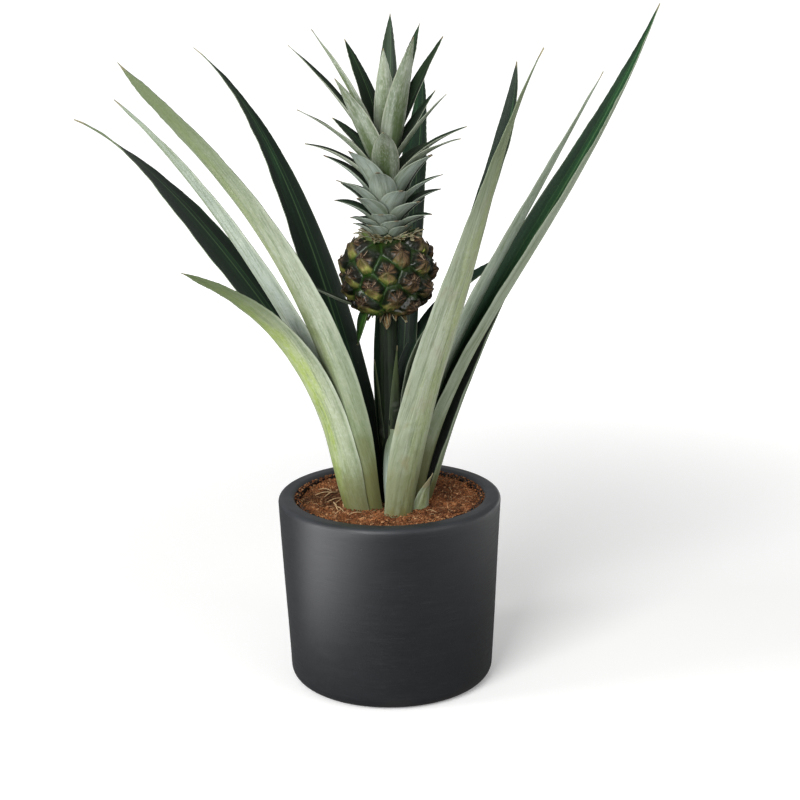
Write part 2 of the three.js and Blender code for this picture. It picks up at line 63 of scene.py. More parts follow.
# Leaves in millimetres and degrees. ring and side place the base around the stem;
# lean is from vertical, azimuth from +X towards +Y.
LEAVES = {
    "leaf_low_left": {
        "ring": 24, "side": 207, "length": 226,
        "lean": (20, 22, 44, 64), "azimuth": (209, 220, 217),
        "width": (34, 37), "widest": 0.36, "taper": 1.7,
        "fold": (38, 20), "twist": (1, 2, 34),
    },
    "leaf_low_right": {
        "ring": 20.5, "side": 14, "length": 192,
        "lean": (20, 21, 26, 30), "azimuth": (14, 18, 18),
        "width": (28, 30), "widest": 0.3, "taper": 1.7,
        "fold": (40, 20), "twist": (0, 0, 0),
    },
    "leaf_right_stub": {
        "ring": 25.5, "side": -42, "length": 36,
        "lean": (0, 16, 24, 24), "azimuth": (-62, -50, -20),
        "width": (13, 12), "widest": 0.35, "taper": 1.6,
        "fold": (30, 25), "twist": (0, 0, 0),
    },
    "leaf_front_right": {
        "ring": 21.5, "side": -75, "length": 327,
        "lean": (9, 23, 20, 31), "azimuth": (-50, -46, -39),
        "width": (32, 41), "widest": 0.42, "taper": 1.5,
        "fold": (39, 13), "twist": (7, 12, 29),
    },
    "leaf_left_broad": {
        "ring": 22, "side": 158, "length": 344,
        "lean": (2, 38, 50, 73), "azimuth": (186, 147, 151),
        "width": (28, 40), "widest": 0.6, "taper": 1.8,
        "fold": (24, 9), "twist": (12, 8, 37),
    },
    "leaf_front_left": {
        "ring": 19.6, "side": 222, "length": 353,
        "lean": (15, 22, 37, 46), "azimuth": (227, 218, 228),
        "width": (30, 48), "widest": 0.37, "taper": 1.9,
        "fold": (45, 5), "twist": (5, -12, 17),
    },
    "leaf_left_narrow": {
        "ring": 17.8, "side": 196, "length": 318,
        "lean": (8, 26, 33, 46), "azimuth": (203, 204, 204),
        "width": (26, 34), "widest": 0.39, "taper": 1.56,
        "fold": (50, 27), "twist": (1, 1, 19),
    },
    "leaf_back_left": {
        "ring": 16, "side": 132, "length": 345,
        "lean": (12, 26, 34, 60), "azimuth": (134, 129, 144),
        "width": (28, 33), "widest": 0.35, "taper": 1.96,
        "fold": (45, 11), "twist": (0, 6, 29),
    },
    "leaf_right_broad": {
        "ring": 16.5, "side": -6, "length": 360,
        "lean": (7, 28, 31, 27), "azimuth": (-6, 5, 35),
        "width": (30, 46), "widest": 0.5, "taper": 1.42,
        "fold": (51, 37), "twist": (-5, 2, -17),
    },
    "leaf_front_stub": {
        "ring": 17.2, "side": 279, "length": 62,
        "lean": (3, 3, 3, 3), "azimuth": (265, 265, 265),
        "width": (12, 15), "widest": 0.4, "taper": 4,
        "fold": (30, 25), "twist": (0, 0, 0), "tip_width": 5,
    },
    "leaf_right_narrow": {
        "ring": 14.8, "side": -14, "length": 311,
        "lean": (0, 23, 28, 28), "azimuth": (-14, -14, -13),
        "width": (22, 30), "widest": 0.35, "taper": 1.8,
        "fold": (48, 30), "twist": (0, -2, -2),
    },
    "leaf_back_right": {
        "ring": 13, "side": 42, "length": 299,
        "lean": (10, 21, 22, 7), "azimuth": (42, 34, 46),
        "width": (18, 36), "widest": 0.37, "taper": 2.1,
        "fold": (47, 9), "twist": (2, -25, 15),
    },
    "leaf_back": {
        "ring": 11.2, "side": 80, "length": 302,
        "lean": (6, 12, 27, 45), "azimuth": (81, 73, 86),
        "width": (18, 32), "widest": 0.36, "taper": 1.74,
        "fold": (39, 15), "twist": (0, -4, -5),
    },
    "leaf_right_short": {
        "ring": 10.4, "side": 50, "length": 200,
        "lean": (5, 6, 40, 62), "azimuth": (50, 20, 14),
        "width": (15, 25), "widest": 0.5, "taper": 2.1,
        "fold": (47, 16), "twist": (0, -8, 12),
    },
}

# Colour of each leaf as (under side, its middle band, upper side, dry tip share, stain)
LEAF_LOOKS = {
    "leaf_low_left": ("#9aa486", "#98aa52", "#33492f", 0.012, 0.25),
    # leaf_low_right's colours are darkened as painted shade, for the shade it sits in.
    "leaf_low_right": ("#6b7a60", "#66744e", "#1a2a1e", 0.02, 0.3),
    "leaf_right_stub": ("#8f9b7c", "#8b9668", "#5a6a4a", 0.3, 0.6),
    "leaf_front_right": ("#b7c0a9", "#a8b482", "#243427", 0.015, 0.8),
    "leaf_left_broad": ("#a3ae9c", "#98a682", "#142a1a", 0.03, 0.1),
    "leaf_front_left": ("#9ba48f", "#8e9b68", "#223124", 0.012, 0.35),
    "leaf_left_narrow": ("#9faaa0", "#929e8a", "#223124", 0.015, 0.15),
    "leaf_back_left": ("#a3ae9c", "#98a682", "#152a1b", 0.03, 0.1),
    "leaf_right_broad": ("#a6b29c", "#9cab7c", "#1f4626", 0.01, 0.2),
    # leaf_front_stub's colours are lightened as painted light, to look lit on its front.
    "leaf_front_stub": ("#c6d6c8", "#bccdb4", "#6b8a70", 0.0, 0.1),
    "leaf_right_narrow": ("#9fac9e", "#93a18c", "#223124", 0.015, 0.15),
    "leaf_back_right": ("#9fab90", "#95a478", "#16241a", 0.01, 0.1),
    "leaf_back": ("#93a184", "#8b9b70", "#17301f", 0.01, 0.1),
    "leaf_right_short": ("#8a9a7a", "#86986a", "#182a20", 0.01, 0.1),
}

# Inputs of the leaf surface that a leaf has its own value for: depth of the painted shade at the
# foot and where it ends, depth of the tip's olive, and place of the pale line over the upper side,
# beyond which that side is painted dark as shade
LEAF_TRAITS = {
    "leaf_front_right": {"Foot": 0.7, "Tip": 0.85},
    "leaf_low_left": {"Foot": 0.9, "Tip": 0.9},
    "leaf_front_left": {"Foot": 1.5, "Tip": 0.85, "Shade_Run": 0.58},
    "leaf_left_narrow": {"Foot": 1.5, "Tip": 0.3},
    "leaf_right_narrow": {"Foot": 1.3, "Tip": 0.2},
    "leaf_right_broad": {"Tip": 0.3, "Line": -0.35},
}
# Share of the panel's foot bulge that a leaf gets, and how much its foot narrows
FOOT_BULGES = {"leaf_front_right": 1.0, "leaf_low_left": 0.9, "leaf_front_left": 0.5}
COMMON_BULGE = 0.4
FOOT_PINCH = 0.24
# Height of the long ribs under a leaf, and the length under which a leaf is a plain stub
LEAF_RIBS = 0.09
SHORT_LEAF = 100
STUB_BULGE = 0.4
STUB_STATIONS = 40
# Pieces of a leaf's skin this near to the soil's surface get crumbs against them
FOOT_REACH = 1.3

# The crown's high leaves: direction, height of the base, distance and height of the tip,
# width and bend
CROWN_TOP_LEAVES = (
    (-92, 316, 38, 364, 18, 30),
    (180, 318, 50, 353, 16, 26),
    (45, 319, 44, 350, 16, 26),
    (-22, 320, 49, 357, 16, 26),
    (98, 323, 42, 362, 16, 22),
    (-128, 323, 48, 396, 18, 13),
    (2, 325, 50, 362, 15, 20),
    (145, 326, 41, 366, 15, 16),
    (192, 327, 55, 375, 15, 16),
    (-58, 328, 33, 419, 18, 9),
    (28, 332, 35, 383, 13, 8),
    (-12, 334, 38, 383, 13, 8),
    (168, 335, 61, 412, 14, 11),
    (-92, 336, 22, 412, 15, 7),
    (198, 338, 46, 423, 15, 8),
    (38, 340, 46, 415, 14, 9),
    (128, 343, 41, 414, 14, 8),
    (55, 345, 38, 423, 13, 6),
    (80, 346, 20, 430, 14, 5),
)
# The crown's low leaves from the first to the last: reach, height of the tip, width and bend
SPIRAL_REACH = (18, 32, 40)
SPIRAL_TIP = (301, 318, 356)
SPIRAL_WIDTH = (14, 17, 18)
SPIRAL_BEND = (20, 24, 26)
# Turn from one low leaf to the next, direction of the first, and the core's top radius
CROWN_TURN = 360 * 5 / 13
CROWN_PHASE = -99.0
CORE_TIP = 2.5
# Heights of the fruit's flat ends, their radius, and how round its low and high half are
FRUIT_BOTTOM = 248.0
FRUIT_TOP = 294.0
FRUIT_CAP_RADIUS = 8.5
FRUIT_LOW_ROUND = 1.9
FRUIT_HIGH_ROUND = 2.6
# The eyes' spiral: turn from eye to eye, first direction, lowest and highest share
EYE_COUNT = 33
EYE_TURN = 137.508
EYE_PHASE = 39.0
EYE_LOW = 0.09
EYE_HIGH = 0.95
EYE_FIBRES = 12
DRY_BRACTS = 26
# Small leaves under the crown, and the turn from one to the next in radians
FRINGE_LEAVES = 120
GOLDEN_TURN = 2.399963

# Rings that close the soil below its surface, as (depth under it, share of its radius)
SOIL_RINGS = ((0.0, 1.0), (60.0, 0.93), (106.0, 0.82), (106.0, 0.4), (106.0, 0.0))
# The nursery pot's rolled rim: radius, height and radius of the roll
NURSERY_RIM = (60.4, 121.6, 0.4)
# Radii between which spilt crumbs climb that rim and drop behind it, and their height on it
SPILL_CLIMB = 59.2
SPILL_DROP = 61.0
SPILL_END = 63.3
SPILL_HEIGHT = 122.3
# The middle of the dark patch on the soil, in metres: partly damp, partly painted shadow
DAMP_SHADE_PLACE = (-0.044, 0.004, 0.12)
# Pale roots and straws on the soil: place, heading in radians, length and thickness
PALE_ROOTS = (
    (-33, -22, 1.9, 17, 0.5), (-29, -27, 2.1, 17, 0.35), (-36, -14, 1.2, 16, 0.3),
    (-43, 2, 0.7, 14, 0.3), (-49, 6, 0.3, 15, 0.3), (-38, 12, 2.6, 12, 0.25),
    (-30, -18, 1.4, 14, 0.5), (-41, -8, 0.4, 13, 0.28), (-35, -30, 0.9, 12, 0.25),
    (-26, -33, 0.4, 10, 0.25), (30, -30, 2.6, 9, 0.2), (41, 10, 1.9, 9, 0.2),
)

# The photo's camera, in metres and degrees, and the place that the lamps face
CAMERA_PLACE = (0.0076, -1.12657, 0.49491)
CAMERA_PITCH = 15.2929
CAMERA_ROLL = 0.7241
LAMP_AIM = (0.0, 0.0, 0.2)


def linear(code):
    """Scene colour of a hex code such as #8899aa, with alpha 1."""
    shares = [int(code[i : i + 2], 16) / 255 for i in (1, 3, 5)]
    parts = [s / 12.92 if s <= 0.04045 else ((s + 0.055) / 1.055) ** 2.4 for s in shares]
    return (*parts, 1.0)


def grey(value):
    return (value, value, value, 1.0)


def mix(a, b, t):
    """The value between a and b at share t."""
    return a + (b - a) * t


def smooth(x, low, high):
    """0 under low and 1 over high, with a smooth rise between."""
    t = np.clip((x - low) / (high - low), 0.0, 1.0)
    return t * t * (3 - 2 * t)


def through(values, u):
    """The smooth curve at u through evenly spaced values."""
    last = len(values) - 1
    total = np.zeros_like(u)
    for i, value in enumerate(values):
        weight = np.ones_like(u)
        for j in range(last + 1):
            if j != i:
                weight = weight * (u * last - j) / (i - j)
        total = total + value * weight
    return total


def seeded(seed):
    """A repeatable random stream of numbers from 0 to 1."""
    state = seed

    def draw():
        nonlocal state
        state = state * 16807 % 2147483647
        return state / 2147483647

    return draw


def perlin(points, scale, seed=0.0):
    """Noise from -1 to 1 at each point, with the given number of cells per unit."""
    shift = Vector((seed * 17.1, seed * 5.3, seed * 9.7))
    return np.array([noise.noise(Vector(p) * scale + shift) for p in points])


def new_object(name, data):
    made = bpy.data.objects.new(name, data)
    bpy.context.scene.collection.objects.link(made)
    return made


class Form:
    """Points, faces and named values per point of one mesh in the making."""

    def __init__(self):
        self.points = []
        self.faces = []
        self.values = {}
        self.count = 0

    def add(self, points, faces, **values):
        points = np.asarray(points, float).reshape(-1, 3)
        self.points.append(points)
        self.faces.extend(tuple(i + self.count for i in face) for face in faces)
        for name, value in values.items():
            column = np.broadcast_to(np.asarray(value, float).ravel(), (len(points),))
            self.values.setdefault(name, []).append(column)
        self.count += len(points)

    def object(self, name, material, slot, sharp=60.0, weld=False):
        """Makes the object, in metres, riding on the frame."""
        mesh = bpy.data.meshes.new(name)
        mesh.from_pydata(np.concatenate(self.points) * MM, [], self.faces)
        for key, columns in self.values.items():
            layer = mesh.attributes.new(key, "FLOAT", "POINT")
            layer.data.foreach_set("value", np.concatenate(columns).astype(np.float32))
        if weld:
            weld_points(mesh)
        mesh.shade_smooth()
        mesh.set_sharp_from_angle(angle=math.radians(sharp))
        mesh.materials.append(material)
        made = new_object(name, mesh)
        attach(made, "root")
        return made


def weld_points(mesh):
    """Joins points that lie on each other and turns all faces outward."""
    work = bmesh.new()
    work.from_mesh(mesh)
    bmesh.ops.remove_doubles(work, verts=work.verts, dist=1e-6)
    bmesh.ops.recalc_face_normals(work, faces=work.faces)
    work.to_mesh(mesh)
    work.free()


def grid_faces(rows, columns, wrap=False, flip=False):
    """Quads between rows and columns of points that were listed row by row."""
    faces = []
    reach = columns if wrap else columns - 1
    for i in range(rows - 1):
        for j in range(reach):
            k = (j + 1) % columns
            quad = (i * columns + j, i * columns + k, (i + 1) * columns + k, (i + 1) * columns + j)
            faces.append(quad[::-1] if flip else quad)
    return faces


def sheet_faces(rows, columns, flip=False, ends=True):
    """Faces round a thin sheet whose two sides were listed one after the other."""
    size = rows * columns
    faces = grid_faces(rows, columns, flip=flip)
    faces += [tuple(i + size for i in face) for face in grid_faces(rows, columns, flip=not flip)]
    for i in range(rows - 1):
        for start, forward in ((0, flip), (columns - 1, not flip)):
            a, b = i * columns + start, (i + 1) * columns + start
            a, b = (a, b) if forward else (b, a)
            faces.append((a, b, b + size, a + size))
    for j in range(columns - 1 if ends else 0):
        faces.append((j, j + size, j + 1 + size, j + 1))
        k = (rows - 1) * columns + j
        faces.append((k, k + 1, k + 1 + size, k + size))
    return faces


def turned(form, profile, sides, wobble=0.0, **values):
    """Adds a body turned about Z from (radius, height) points."""
    angle = np.linspace(0, 2 * math.pi, sides, endpoint=False)
    points = []
    for radius, height in profile:
        r = radius + wobble * (radius > 1) * np.sin(3 * angle + height * 0.05)
        z = np.full(sides, height)
        points.append(np.stack([r * np.cos(angle), r * np.sin(angle), z], axis=1))
    faces = grid_faces(len(profile), sides, wrap=True)
    form.add(np.concatenate(points), faces, **values)


def arc(cx, cz, radius, start, end, steps):
    turns = [math.radians(mix(start, end, i / steps)) for i in range(steps + 1)]
    return [(cx + radius * math.cos(a), cz + radius * math.sin(a)) for a in turns]


def ring_point(azimuth, radius, z):
    """The point at an azimuth in degrees on a level ring round the plant's middle."""
    turn = math.radians(azimuth)
    return np.array([PLANT_X + radius * math.cos(turn), PLANT_Y + radius * math.sin(turn), z])


def blade_width(shape, u):
    """Width at each share u of a leaf's length."""
    low, high = shape["width"]
    widest = shape["widest"]
    rise = smooth(u, 0.0, widest)
    fall = 1 - (np.clip(u - widest, 0, None) / (1 - widest)) ** shape["taper"]
    width = np.where(u < widest, mix(low, high, rise), high * fall)
    return np.maximum(width, shape.get("tip_width", 0.35))


def blade_frames(shape, stations):
    """Shares of a blade's length, its middle line, and its inward and sideways directions."""
    u = np.linspace(0, 1, stations + 1)
    lean = np.radians(through(shape["lean"], u))
    azimuth = np.radians(through(shape["azimuth"], u))
    twist = np.radians(through(shape["twist"], u))
    outward = np.stack([np.cos(azimuth), np.sin(azimuth), np.zeros_like(u)], axis=1)
    along = outward * np.sin(lean)[:, None]
    along[:, 2] = np.cos(lean)
    steps = (along[1:] + along[:-1]) / 2 * shape["length"] / stations
    centre = np.concatenate([np.zeros((1, 3)), np.cumsum(steps, axis=0)]) + shape["base"]
    inner = -outward * np.cos(lean)[:, None]
    inner[:, 2] = np.sin(lean)
    turn = np.cross(along, inner)
    inner = inner * np.cos(twist)[:, None] + turn * np.sin(twist)[:, None]
    return u, centre, inner, np.cross(along, inner)


def add_blade(form, shape, stations, strips, tone=0.5, wave=0.25, teeth=0.0):
    """Adds one channelled blade with an upper side (face 0) and an under side (face 1)."""
    u, centre, inner, across = blade_frames(shape, stations)
    width = blade_width(shape, u) * (1 - shape.get("pinch", 0.0) * (1 - smooth(u, 0.0, 0.2)))
    fold = np.radians(np.maximum(through(shape["fold"], u), 2.0))
    v = np.linspace(-1, 1, strips + 1)
    turn = fold[:, None] * v[None, :]
    reach = (width / 2 / fold)[:, None]
    thick, edge = shape.get("thickness", 1.4), shape.get("edge", 0.5)
    middle = mix(thick, edge, u**2)[:, None]
    half = mix(middle, edge, (v * v)[None, :]) / 2
    ripple = np.sin(u * shape["length"] / 7.0 + tone * 40)[:, None] * np.sign(v)[None, :]
    ripple = ripple + np.sin(u * shape["length"] / 3.1 + tone * 90)[:, None] * 0.5
    lift = wave * ripple * (np.abs(v) ** 3)[None, :] * smooth(u, 0.02, 0.2)[:, None]
    drift = tone * 30 + 2.0 * np.sin(u * 5 + tone * 11)[:, None]
    ribs = np.sin(v[None, :] * width[:, None] * 0.9 + drift) + np.sin(v[None, :] * 9 - drift)
    ribs = shape.get("ribs", 0.0) * ribs * (1 - v**4)[None, :] * smooth(1 - u, 0.0, 0.3)[:, None]
    belly = shape.get("belly", 0.0) * (1 - smooth(u, 0.02, 0.36))[:, None] * (1 - v * v)[None, :]
    side_step = np.sin(turn) * reach
    if teeth:
        near_tip = smooth(u, 0.6, 0.75) * smooth(1 - u, 0.01, 0.06)
        saw = (u * shape["length"] / 4.3) % 1.0
        grow = (teeth * saw**3 * near_tip)[:, None]
        side_step = side_step + grow * np.where(np.abs(v) == 1, np.sign(v), 0)[None, :]
    sheet = centre[:, None, :] + across[:, None, :] * side_step[..., None]
    sheet = sheet + inner[:, None, :] * ((1 - np.cos(turn)) * reach)[..., None]
    face = inner[:, None, :] * np.cos(turn)[..., None]
    face = face - across[:, None, :] * np.sin(turn)[..., None]
    rows, columns = stations + 1, strips + 1
    top = sheet + face * (lift + half)[..., None]
    low = sheet + face * (lift - half - belly + ribs)[..., None]
    flat_u = np.repeat(u, columns)
    flat_v = np.tile(v, rows)
    form.add(
        np.concatenate([top.reshape(-1, 3), low.reshape(-1, 3)]),
        sheet_faces(rows, columns, flip=True),
        along=np.tile(flat_u, 2),
        across=np.tile(flat_v, 2),
        face=np.repeat([0.0, 1.0], rows * columns),
        tone=tone,
        span=np.tile(np.repeat(width, columns), 2) / 40,
        reach=shape["length"] / 300,
    )


def add_strand(form, path, radius, sides=4, **values):
    """Adds a thin strand that tapers to both ends along a path of points."""
    path = np.asarray(path, float)
    ahead = np.gradient(path, axis=0)
    ahead /= np.linalg.norm(ahead, axis=1)[:, None] + 1e-9
    side = np.cross(ahead, (0.0, 0.0, 1.0)) + 1e-6
    side /= np.linalg.norm(side, axis=1)[:, None]
    other = np.cross(ahead, side)
    share = np.linspace(0, 1, len(path))
    size = radius * (0.35 + 0.65 * np.sin(math.pi * share) ** 0.5)
    turns = np.linspace(0, 2 * math.pi, sides, endpoint=False)
    rings = [
        path + side * (size * math.cos(t))[:, None] + other * (size * math.sin(t))[:, None]
        for t in turns
    ]
    points = np.stack(rings, axis=1).reshape(-1, 3)
    faces = grid_faces(len(path), sides, wrap=True)
    faces.append(tuple(range(sides))[::-1])
    faces.append(tuple((len(path) - 1) * sides + k for k in range(sides)))
    form.add(points, faces, **values)


# Node trees


class Graph:
    """Short calls for nodes and links in a material or group."""

    def __init__(self, tree):
        self.tree = tree

    def node(self, kind, settings=None, **inputs):
        made = self.tree.nodes.new(kind)
        for key, value in (settings or {}).items():
            setattr(made, key, value)
        for key, value in inputs.items():
            self.feed(made.inputs[key.replace("_", " ")], value)
        return made

    def feed(self, socket, value):
        """Links or sets a socket; a hex code stands for its colour."""
        if isinstance(value, str):
            value = linear(value)
        if isinstance(value, bpy.types.NodeSocket):
            self.tree.links.new(value, socket)
        else:
            socket.default_value = value

    def math(self, operation, a, b=0.0, c=0.0):
        made = self.node("ShaderNodeMath", {"operation": operation})
        for socket, value in zip(made.inputs, (a, b, c)):
            self.feed(socket, value)
        return made.outputs[0]

    def times(self, a, b):
        return self.math("MULTIPLY", a, b)

    def blend(self, share, a, b):
        """Colour a where share is 0, and b where it is 1."""
        made = self.node("ShaderNodeMix", {"data_type": "RGBA"}, Factor=share)
        self.feed(made.inputs[6], a)
        self.feed(made.inputs[7], b)
        return made.outputs[2]

    def window(self, value, low, high, start=0.0, end=1.0):
        """Start where value is under low, end where it is over high, smooth between."""
        return self.node(
            "ShaderNodeMapRange", {"interpolation_type": "SMOOTHSTEP"},
            Value=value, From_Min=low, From_Max=high, To_Min=start, To_Max=end,
        ).outputs[0]

    def tint(self, base, code, value, low, high, start=0.0, end=1.0):
        """The base colour, tinted with another by a window of value."""
        return self.blend(self.window(value, low, high, start, end), base, code)

    def noise(self, vector, scale, detail=3.0, rough=0.55):
        return self.node("ShaderNodeTexNoise", Vector=vector, Scale=scale, Detail=detail,
                         Roughness=rough).outputs["Fac"]

    def value(self, name):
        return self.node("ShaderNodeAttribute", {"attribute_name": name}).outputs["Fac"]

    def place(self):
        return self.node("ShaderNodeTexCoord").outputs["Object"]

    def split(self, vector):
        return self.node("ShaderNodeSeparateXYZ", Vector=vector).outputs

    def scaled(self, values, scales):
        """A vector of three values, each times its own scale."""
        return self.vector(*(self.times(v, s) for v, s in zip(values, scales)))

    def vector(self, x, y, z):
        return self.node("ShaderNodeCombineXYZ", X=x, Y=y, Z=z).outputs[0]


def new_group(name, inputs, outputs):
    """A node group with (name, kind, default) inputs and (name, kind) outputs."""
    tree = bpy.data.node_groups.new(name, "ShaderNodeTree")
    for label, kind, default in inputs:
        socket = tree.interface.new_socket(label, in_out="INPUT", socket_type=kind)
        socket.default_value = linear(default) if isinstance(default, str) else default
    for label, kind in outputs:
        tree.interface.new_socket(label, in_out="OUTPUT", socket_type=kind)
    graph = Graph(tree)
    given, out = graph.node("NodeGroupInput").outputs, graph.node("NodeGroupOutput").inputs
    return tree, graph, given, out


def new_material(name, **settings):
    """A material with its Principled shader; settings go on the shader's own sockets."""
    material = bpy.data.materials.new(name)
    material.use_nodes = True
    graph = Graph(material.node_tree)
    shader = material.node_tree.nodes["Principled BSDF"]
    for key, value in settings.items():
        shader.inputs[key.replace("_", " ")].default_value = value
    return material, graph, shader


def dress(graph, shader, color, rough, height, strength, distance):
    """Feeds a shader its colour, its roughness and a relief of the given depth in metres."""
    graph.feed(shader.inputs["Base Color"], color)
    graph.feed(shader.inputs["Roughness"], rough)
    made = graph.node("ShaderNodeBump", Strength=strength, Distance=distance, Height=height)
    graph.feed(shader.inputs["Normal"], made.outputs["Normal"])


FLOAT = "NodeSocketFloat"
COLOR = "NodeSocketColor"
LEAF_INPUTS = (
    ("Under", COLOR, "#a9b59e"),
    ("Band", COLOR, "#9aaa6e"),
    ("Upper", COLOR, "#1f3024"),
    ("Dry", COLOR, "#8c8468"),
    ("Margin", COLOR, "#c3cbb9"),
    ("Dry Tip", FLOAT, 0.02),
    ("Stain", FLOAT, 0.1),
    ("Silver", FLOAT, 0.5),
    # Foot sets the depth of the painted shade at a leaf's foot and of its earthy stain; Shade Run
    # sets where along the leaf that shade ends
    ("Foot", FLOAT, 1.0),
    ("Tip", FLOAT, 0.8),
    ("Line", FLOAT, 0.3),
    ("Shade Run", FLOAT, 0.46),
    ("Sap", FLOAT, 0.0),
)
LEAF_OUTPUTS = (("Color", COLOR), ("Roughness", FLOAT), ("Height", FLOAT), ("Gloss", FLOAT))
# Streaks of noise on a leaf: name, scale across it, scale along it, offset and detail
LEAF_STREAKS = (
    ("broad", 3.0, 3.5, 0.0, 3.0),
    ("medium", 7.0, 6.0, 5.0, 3.0),
    ("fine", 17.0, 12.0, 9.0, 3.0),
    ("patch", 2.6, 15.0, 13.0, 4.0),
    ("mottle", 7.0, 42.0, 15.0, 3.0),
    ("scurf", 24.0, 110.0, 17.0, 2.0),
    ("bars", 1.6, 60.0, 21.0, 2.0),
)


def leaf_maps(g):
    """Places on a leaf and the streaks that its colours share."""
    m = SimpleNamespace()
    for name in ("along", "across", "face", "tone", "span", "reach"):
        setattr(m, name, g.value(name))
    m.side = g.times(m.across, m.span)
    m.run = g.times(m.along, m.reach)
    for name, wide, long, offset, detail in LEAF_STREAKS:
        shift = g.math("MULTIPLY_ADD", m.tone, 37.0, offset)
        place = g.vector(g.times(m.side, wide), g.times(m.run, long), shift)
        setattr(m, name, g.noise(place, 1.0, detail))
    m.rim = g.math("ABSOLUTE", m.across)
    return m


def leaf_under(g, given, m):
    """Under side: silver scales over green, with a warmer middle band and darker veins, and painted
    shade along a crease, on one flank and at the foot.
    """
    sway = g.math("MULTIPLY_ADD", g.math("SUBTRACT", m.broad, 0.5), 1.5, m.rim)
    middle = g.window(sway, 0.0, 0.7, 1.0, 0.0)
    under = g.blend(middle, given["Under"], given["Band"])
    under = g.tint(under, "#6c7b56", m.medium, 0.5, 0.72, 0.0, 0.5)
    under = g.tint(under, "#5c6a4e", m.fine, 0.5, 0.75, 0.0, 0.42)
    bloom = g.times(g.window(m.patch, 0.42, 0.66), given["Silver"])
    under = g.blend(g.times(bloom, 0.6), under, "#c0c9bb")
    dust = g.times(g.window(m.scurf, 0.46, 0.7), given["Silver"])
    under = g.blend(g.times(dust, 0.58), under, "#ced3c8")
    under = g.tint(under, "#6f7b56", m.mottle, 0.54, 0.74, 0.0, 0.3)
    under = g.tint(under, "#dfe4d8", m.bars, 0.54, 0.78, 0.0, 0.12)
    # A thin dark line along a crease is painted shade.
    crease = g.window(g.math("ABSOLUTE", g.math("SUBTRACT", m.across, 0.62)), 0.0, 0.09, 0.2, 0.0)
    under = g.blend(crease, under, "#586b48")
    under = g.tint(under, "#56644a", m.rim, 0.55, 0.86, 0.0, 0.22)
    under = g.blend(g.window(m.rim, 0.86, 0.98, 0.0, 0.55), under, given["Margin"])
    foot = g.window(m.along, 0.03, 0.3, 1.0, 0.3)
    stain = g.times(g.window(m.patch, 0.5, 0.68), given["Stain"])
    under = g.blend(g.times(stain, foot), under, "#8b7a44")

    tip = g.times(g.window(m.along, 0.48, 0.92), given["Tip"])
    under = g.blend(tip, under, "#5c6a46")
    under = g.tint(under, "#4d5b3a", m.fine, 0.5, 0.68, 0.0, 0.22)
    under = g.tint(under, "#52613c", m.medium, 0.52, 0.7, 0.0, 0.16)
    # The ragged length share below sets where the under side is painted darker as shade at the
    # foot, up to Shade Run and deepened by Foot.
    patchy = g.math("MULTIPLY_ADD", g.math("SUBTRACT", m.patch, 0.5), 0.2, m.along)
    shade = g.window(patchy, 0.08, given["Shade Run"], 0.52, 0.0)
    shade = g.times(shade, given["Foot"])
    under = g.blend(shade, under, "#5d6b47")
    sap = g.times(g.window(sway, 0.15, 0.8, 1.0, 0.15), given["Sap"])
    sap = g.times(sap, g.window(patchy, 0.3, 0.85, 1.0, 0.1))
    under = g.blend(sap, under, "#405329")
    # One flank of the under side is painted darker as shade.
    flank = g.window(g.math("MULTIPLY_ADD", m.broad, 0.5, m.across), 0.55, 1.15, 0.0, 0.2)
    under = g.blend(flank, under, "#62714f")
    earthy = g.window(patchy, 0.07, 0.22, 0.8, 0.0)
    earthy = g.times(earthy, g.math("MINIMUM", given["Foot"], 1.0))
    under = g.blend(earthy, under, "#5b5a31")
    return under


def leaf_upper(g, given, m):
    """Upper side: deep green, darker in long bands, with a faint pale line and painted shade over
    the half beyond it.
    """
    upper = g.tint(given["Upper"], "#0a170e", m.broad, 0.35, 0.7, 0.0, 0.6)
    upper = g.tint(upper, "#2c5230", m.medium, 0.5, 0.75, 0.0, 0.45)
    line = given["Line"]
    from_line = g.math("ABSOLUTE", g.math("SUBTRACT", m.across, line))
    upper = g.tint(upper, "#5f7f52", from_line, 0.0, 0.05, 0.45, 0.0)
    from_thread = g.math("ABSOLUTE", g.math("MULTIPLY_ADD", line, -1.7, m.across))
    upper = g.tint(upper, "#4f7446", from_thread, 0.0, 0.035, 0.35, 0.0)
    # The half of the upper side beyond the pale line is painted darker as shade.
    outer = g.times(m.across, g.math("SIGN", line))
    upper = g.tint(upper, "#0d1711", outer, 0.35, 0.7, 0.0, 0.65)
    upper = g.tint(upper, "#7d8a70", m.rim, 0.94, 0.995, 0.0, 0.35)
    return upper


